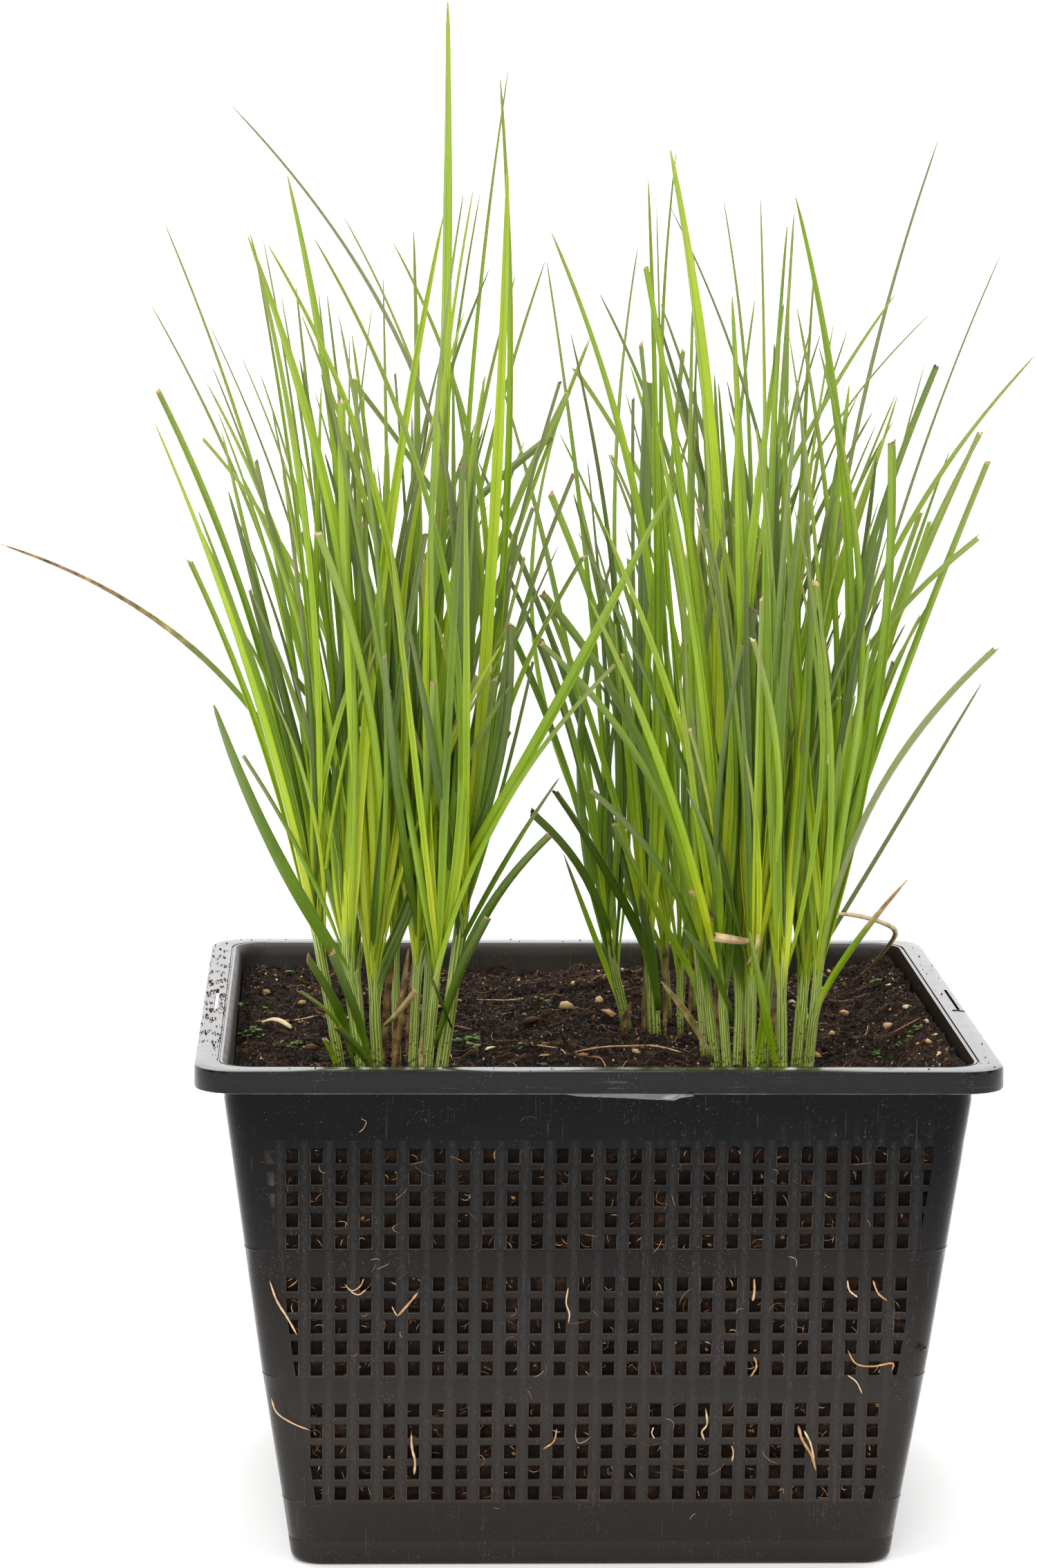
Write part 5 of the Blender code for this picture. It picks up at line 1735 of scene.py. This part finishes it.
def add_leaf(bm, points, width, opening, girth, turn, tone, look):
    """A leaf: rolled round the shoot up to its opening, then a keeled blade to its tip."""
    colour, is_cut = look.split()[0], look.endswith("cut")
    path, places = even_path(points)
    total = places[-1]
    tan_tip = 0.0
    if is_cut:
        # Two more rows near the cut, so that only its very edge is tan
        tan_tip = GREEN_RANDOM.uniform(0.3, 1.0) * CUT_TAN
        added = np.sort(np.append(places, (total - tan_tip - CUT_GREEN, total - tan_tip)))
        path, places = resample(path, places, added), added
    blade = np.clip((places - opening) / (total - opening), 0.0, 1.0)
    half = width / 2 / abs(math.cos(turn))
    half = half * np.interp(blade, *np.array(CUT_SHAPE if is_cut else WHOLE_SHAPE).T)
    if girth:
        wrap = 1 - smooth_step((places - opening + SHEATH_OPENS * 0.7) / SHEATH_OPENS)
    else:
        wrap = np.zeros(len(path))
        half = half * (NECK + (1 - NECK) * smooth_step((places - opening) / NECK_LENGTH))
    twist = GREEN_RANDOM.uniform(-TWIST, TWIST) * blade
    along = unit(np.gradient(path, axis=0))
    flat = unit(np.cross(along, (0.0, 1.0, 0.0)))
    deep = np.cross(flat, along)
    angle = (turn + twist)[:, None]
    side = np.cos(angle) * flat + np.sin(angle) * deep
    keel = np.cross(side, along) * GREEN_RANDOM.choice((-1.0, 1.0))
    across = np.linspace(-1.0, 1.0, CELLS_ACROSS + 1)
    spread = across[None, :, None]
    wave = 1 + WAVER * np.sin(places * WAVER_RATE + GREEN_RANDOM.uniform(0, 6))
    vee = side[:, None] * spread * (half * wave)[:, None, None]
    vee = vee - keel[:, None] * ((1 - abs(spread)) * KEEL * half[:, None, None])
    roll = spread * SHEATH_ROLL
    rolled = girth * (np.sin(roll) * side[:, None] - np.cos(roll) * keel[:, None])
    blend = wrap[:, None, None]
    settling = np.exp(-np.clip(places - opening, 0.0, None) / SETTLE) * (1 - wrap)
    shift = -keel * (np.clip(girth - KEEL * half, 0.0, None) * settling)[:, None]
    surface = path[:, None] + blend * rolled + (1 - blend) * vee + shift[:, None]
    if is_cut:
        slant = GREEN_RANDOM.uniform(-CUT_SLANT, CUT_SLANT) * width
        ragged = [GREEN_RANDOM.uniform(-CUT_RAGGED, CUT_RAGGED) for _ in across]
        ragged = np.array(ragged) * width
        surface[-1] += along[-1] * (slant * across + ragged)[:, None]
    # Values for the leaf's colours, each for a row and a place across
    faded = FADE * float(np.interp(width, FADE_WIDTHS, FADE_SHARES))
    faded = faded * smooth_step((blade - FADE_FROM) / (1 - FADE_FROM))
    if colour == "grey":
        faded = FADE * smooth_step(blade / GREY_OVER)
    dry = np.full(len(path), DRYNESS.get(colour, 0.0))
    if colour == "fading":
        dry = smooth_step((blade - FADE_FROM) / WITHERED_OVER)
    if tan_tip:
        dry[places > total - tan_tip - 0.01 * MM] = 1.0
    rise = next(rise for lowest, rise in FOOT_BRIGHT if tone > lowest)
    toned = tone + rise * np.maximum(0.0, 1 - blade / FOOT_OVER)
    past = places[:, None] - opening - (PALE_ACROSS - abs(across)) * PALE_RUN
    pale = (1 - smooth_step(past / PALE_END)) * (1.0 if girth else 0.0)
    by_place = (across[None], faded[:, None], toned[:, None], pale, dry[:, None])
    by_place = [np.broadcast_to(values, pale.shape).ravel() for values in by_place]
    layers = [bm.verts.layers.float[name] for name in LEAF_VALUES]
    for vert, *values in zip(place_grid(bm, surface), *by_place):
        for layer, value in zip(layers, values):
            vert[layer] = value


def thin_tip(shoot, neighbour):
    """Tip of a thin leaf, between the leaves of the table and so inside their outline."""
    targets = []
    for rows in (shoot[3], neighbour[3]):
        upper = [row for row in rows if row[2] > LOWEST_TARGET] or rows
        targets.append(np.array(GREEN_RANDOM.choice(upper)[:3], float))
    target = targets[0] + (targets[1] - targets[0]) * GREEN_RANDOM.random()
    top = np.array(shoot[1], float)
    tip = top + (target - top) * GREEN_RANDOM.uniform(*THIN_REACH)
    tip += [GREEN_RANDOM.gauss(0.0, spread) for spread in THIN_SPREAD]
    # A tip past the box is turned back into it, so that tips don't line up at its faces
    low, high = np.array(THIN_BOX)
    tip = np.clip(high - abs(high - tip), low, high)
    return (low + abs(tip - low)) * MM


def build_shoot(name, first_number):
    """One shoot with its sheaths, its measured leaves, thin ones and low ones."""
    shoot = SHOOTS[name]
    bm = bmesh.new()
    for value in LEAF_VALUES:
        bm.verts.layers.float.new(value)
    # The foot stands a little down in the soil
    x, y = np.array(shoot[0]) * MM
    foot = np.array((x, y, soil_height(x, y) - 2 * MM))
    stem = np.array(shoot[1], float) * MM - foot
    girth = shoot[2] * MM / 2

    def free_ends(spread, highest):
        """Where a leaf without a sheath starts, hidden in the shoot, and where it comes free."""
        away = np.array([GREEN_RANDOM.uniform(-spread, spread) * girth for _ in range(2)] + [0.0])
        free = foot + stem * GREEN_RANDOM.uniform(FREE_LOWEST, highest) + away
        return foot + stem * HIDDEN_START + away * 0.6, free

    for order, (*tip, leaving, bow, width, look) in enumerate(shoot[3]):
        rank = AGE_RANK[look.split()[0]]
        if leaving > TOP_LEAVING:
            leaving += LATER_BY * rank + GREEN_RANDOM.uniform(0.0, LATER_STRAY)
        start = foot + stem * leaving
        points = leaf_path(foot, start, np.array(tip) * MM, bow, 12)
        opening = np.linalg.norm(start - foot) * SHEATH_OVERLAP
        turn = blade_turn(first_number + order)
        tone = TONES[look.split()[0]] + GREEN_RANDOM.uniform(-TONE_SPREAD, TONE_SPREAD)
        radius = girth * (ROLL_WIDEST - TIGHTER_BY_AGE * rank - TIGHTER_BY_ORDER * order)
        add_leaf(bm, points, width * MM, opening, radius, turn, tone, look)
    for *tip, bow, width, look in MORE_LEAVES.get(name, ()):
        hidden, free = free_ends(MORE_STRAY, MORE_HIGHEST)
        points = leaf_path(hidden, free, np.array(tip) * MM, bow, 6)
        turn = GREEN_RANDOM.uniform(-MORE_TURN, MORE_TURN)
        tone = TONES[look.split()[0]] + GREEN_RANDOM.uniform(-TONE_SPREAD, TONE_SPREAD)
        add_leaf(bm, points, width * MM, HIDDEN_LENGTH, 0.0, turn, tone, look)
    side = name.split("_")[0]
    clump = [key for key in SHOOTS if key.split("_")[0] == side]
    for _ in range(THIN_LEAVES[side]):
        neighbour = SHOOTS[clump[(clump.index(name) + GREEN_RANDOM.randrange(-2, 3)) % len(clump)]]
        tip = thin_tip(shoot, neighbour)
        hidden, free = free_ends(THIN_STRAY, THIN_HIGHEST)
        points = leaf_path(hidden, free, tip, GREEN_RANDOM.uniform(*THIN_ARCH), 6)
        green = GREEN_RANDOM.choice(THIN_GREENS)
        is_cut = tip[2] < HIGHEST_CUT and GREEN_RANDOM.random() < CUT_SHARE
        width = GREEN_RANDOM.uniform(*THIN_WIDTHS) * MM
        turn = GREEN_RANDOM.uniform(-THIN_TURN, THIN_TURN)
        tone = TONES[green] + GREEN_RANDOM.uniform(-THIN_TONE_SPREAD, THIN_TONE_SPREAD)
        look = green + " cut" if is_cut else green
        add_leaf(bm, points, width, HIDDEN_LENGTH, 0.0, turn, tone, look)
    for path, width, look in LOW_LEAVES.get(name, ()):
        points = curve_through(path, 30) * MM
        turn = GREEN_RANDOM.uniform(-LOW_TURN, LOW_TURN)
        add_leaf(bm, points, width * MM, 0.0, 0.0, turn, LOW_TONES[look.split()[0]], look)
    # No leaf passes the bounds of the source, half a leaf's thickness included
    low, high = (np.array(corner) for corner in cad_box)
    for vert in bm.verts:
        vert.co = np.clip(vert.co, low + LEAF_THICKNESS, high - LEAF_THICKNESS)
    piece = add_piece("sedge_" + name, close_mesh("sedge_" + name, bm), sedge,
                      "shoot_" + name)
    thicken(piece, LEAF_THICKNESS)


leaf_number = 1
for shoot_name, shoot_rows in SHOOTS.items():
    build_shoot(shoot_name, leaf_number)
    leaf_number += len(shoot_rows[3])


# Camera, light and floor, set as in the photograph

CAMERA_PLACE = Vector((-90.88, -1849.68, 510.37)) * MM
CAMERA_PITCH = math.radians(7.58)
CAMERA_YAW = math.radians(2.058)
CAMERA_ROLL = math.radians(0.43)
# The photograph is 2268 high, and its lens reads as 7352 of the same pixels
PHOTO_HEIGHT = 2268
PHOTO_FOCUS = 7352
FILM = 36.0
FLOOR_RADIUS = 3.0
ROOM, BACKDROP, BACKDROP_GLOW = "#4C4C4E", "#FFFFFF", 1.7
# Soft square lights, in metres and watts
SOFTBOXES = (
    ("left_softbox", (-1.5, -1.1, 1.3), 1.2, 22.0), ("right_softbox", (1.6, -0.9, 1.2), 1.2, 15.0),
    ("front_softbox", (-0.3, -2.3, 1.2), 1.0, 24.0), ("overhead_softbox", (0.0, -0.3, 2.0), 1.6, 26.0),
)
# What the lights face, and the way to the soft light overhead that keeps the whole floor white
LIGHTS_AIM = Vector((0.0, 0.0, 0.25))
CEILING_WAY, CEILING_SPREAD, CEILING_STRENGTH = Vector((0.0, 0.55, 1.0)), 80.0, 1.2


def add_camera():
    """The camera, from where the photograph was taken."""
    ahead = Vector((math.sin(CAMERA_YAW), math.cos(CAMERA_YAW), 0.0))
    right = Vector((math.cos(CAMERA_YAW), -math.sin(CAMERA_YAW), 0.0))
    up = math.sin(CAMERA_PITCH) * ahead + math.cos(CAMERA_PITCH) * Vector((0, 0, 1))
    look = math.cos(CAMERA_PITCH) * ahead - math.sin(CAMERA_PITCH) * Vector((0, 0, 1))
    rolled_right = math.cos(CAMERA_ROLL) * right + math.sin(CAMERA_ROLL) * up
    rolled_up = math.cos(CAMERA_ROLL) * up - math.sin(CAMERA_ROLL) * right
    data = bpy.data.cameras.new("camera")
    data.sensor_fit = "VERTICAL"
    data.sensor_height = FILM
    data.sensor_width = FILM
    data.lens = PHOTO_FOCUS * FILM / PHOTO_HEIGHT
    data.clip_end = 20.0
    camera = bpy.data.objects.new("camera", data)
    turn = Matrix((rolled_right, rolled_up, -look)).transposed().to_4x4()
    camera.matrix_world = Matrix.Translation(CAMERA_PLACE) @ turn
    bpy.context.scene.collection.objects.link(camera)
    bpy.context.scene.camera = camera


def add_light(name, kind, way, watts, place=(0.0, 0.0, 0.0)):
    """A lamp that shines against the way given; its data is returned for its size."""
    data = bpy.data.lights.new(name, kind)
    data.energy = watts
    light = bpy.data.objects.new(name, data)
    light.location = place
    light.rotation_euler = way.to_track_quat("Z", "Y").to_euler()
    bpy.context.scene.collection.objects.link(light)
    return data


def make_floor():
    """Matt white paper floor, spotless."""
    material, shader, node, place = new_material("white_paper_floor")
    tooth = node("TexNoise", {"Vector": place, "Scale": 800.0})
    colour = node("ValToRGB", (tooth,), stops=((0.0, "#F2F2F1"), (1.0, "#FAFAF9")))
    fill_inputs(shader, {"Base Color": colour, "Roughness": 0.95, "IOR": 1.45})
    bm = bmesh.new()
    bmesh.ops.create_circle(bm, cap_ends=True, segments=64, radius=FLOOR_RADIUS)
    bmesh.ops.translate(bm, vec=(0.0, 0.0, -0.2 * MM), verts=bm.verts)
    mesh = close_mesh("paper_floor", bm)
    mesh.materials.append(material)
    floor = bpy.data.objects.new("paper_floor", mesh)
    bpy.context.scene.collection.objects.link(floor)


def set_world():
    """A white backdrop behind the plant and a dim room in front of it."""
    world = bpy.data.worlds.new("white_studio")
    world.use_nodes = True
    node = partial(add_node, world.node_tree)
    depth = node("SeparateXYZ", (node("TexCoord", out="Generated"),), out="Y")
    glow = node("ValToRGB", (depth,), stops=((0.05, ROOM), (0.5, BACKDROP)))
    seen = node("LightPath", out="Is Camera Ray")
    shown = node("Mix", {0: seen, MIX_A: glow, MIX_B: BACKDROP}, **MIXED)
    fill_inputs(world.node_tree.nodes["Background"], {"Color": shown, "Strength": BACKDROP_GLOW})
    bpy.context.scene.world = world
    bpy.context.scene.view_settings.view_transform = "Standard"


add_camera()
set_world()
make_floor()
for box_name, box_place, box_size, box_watts in SOFTBOXES:
    box_way = Vector(box_place) - LIGHTS_AIM
    add_light(box_name, "AREA", box_way, box_watts, box_place).size = box_size
add_light("ceiling", "SUN", CEILING_WAY, CEILING_STRENGTH).angle = math.radians(CEILING_SPREAD)
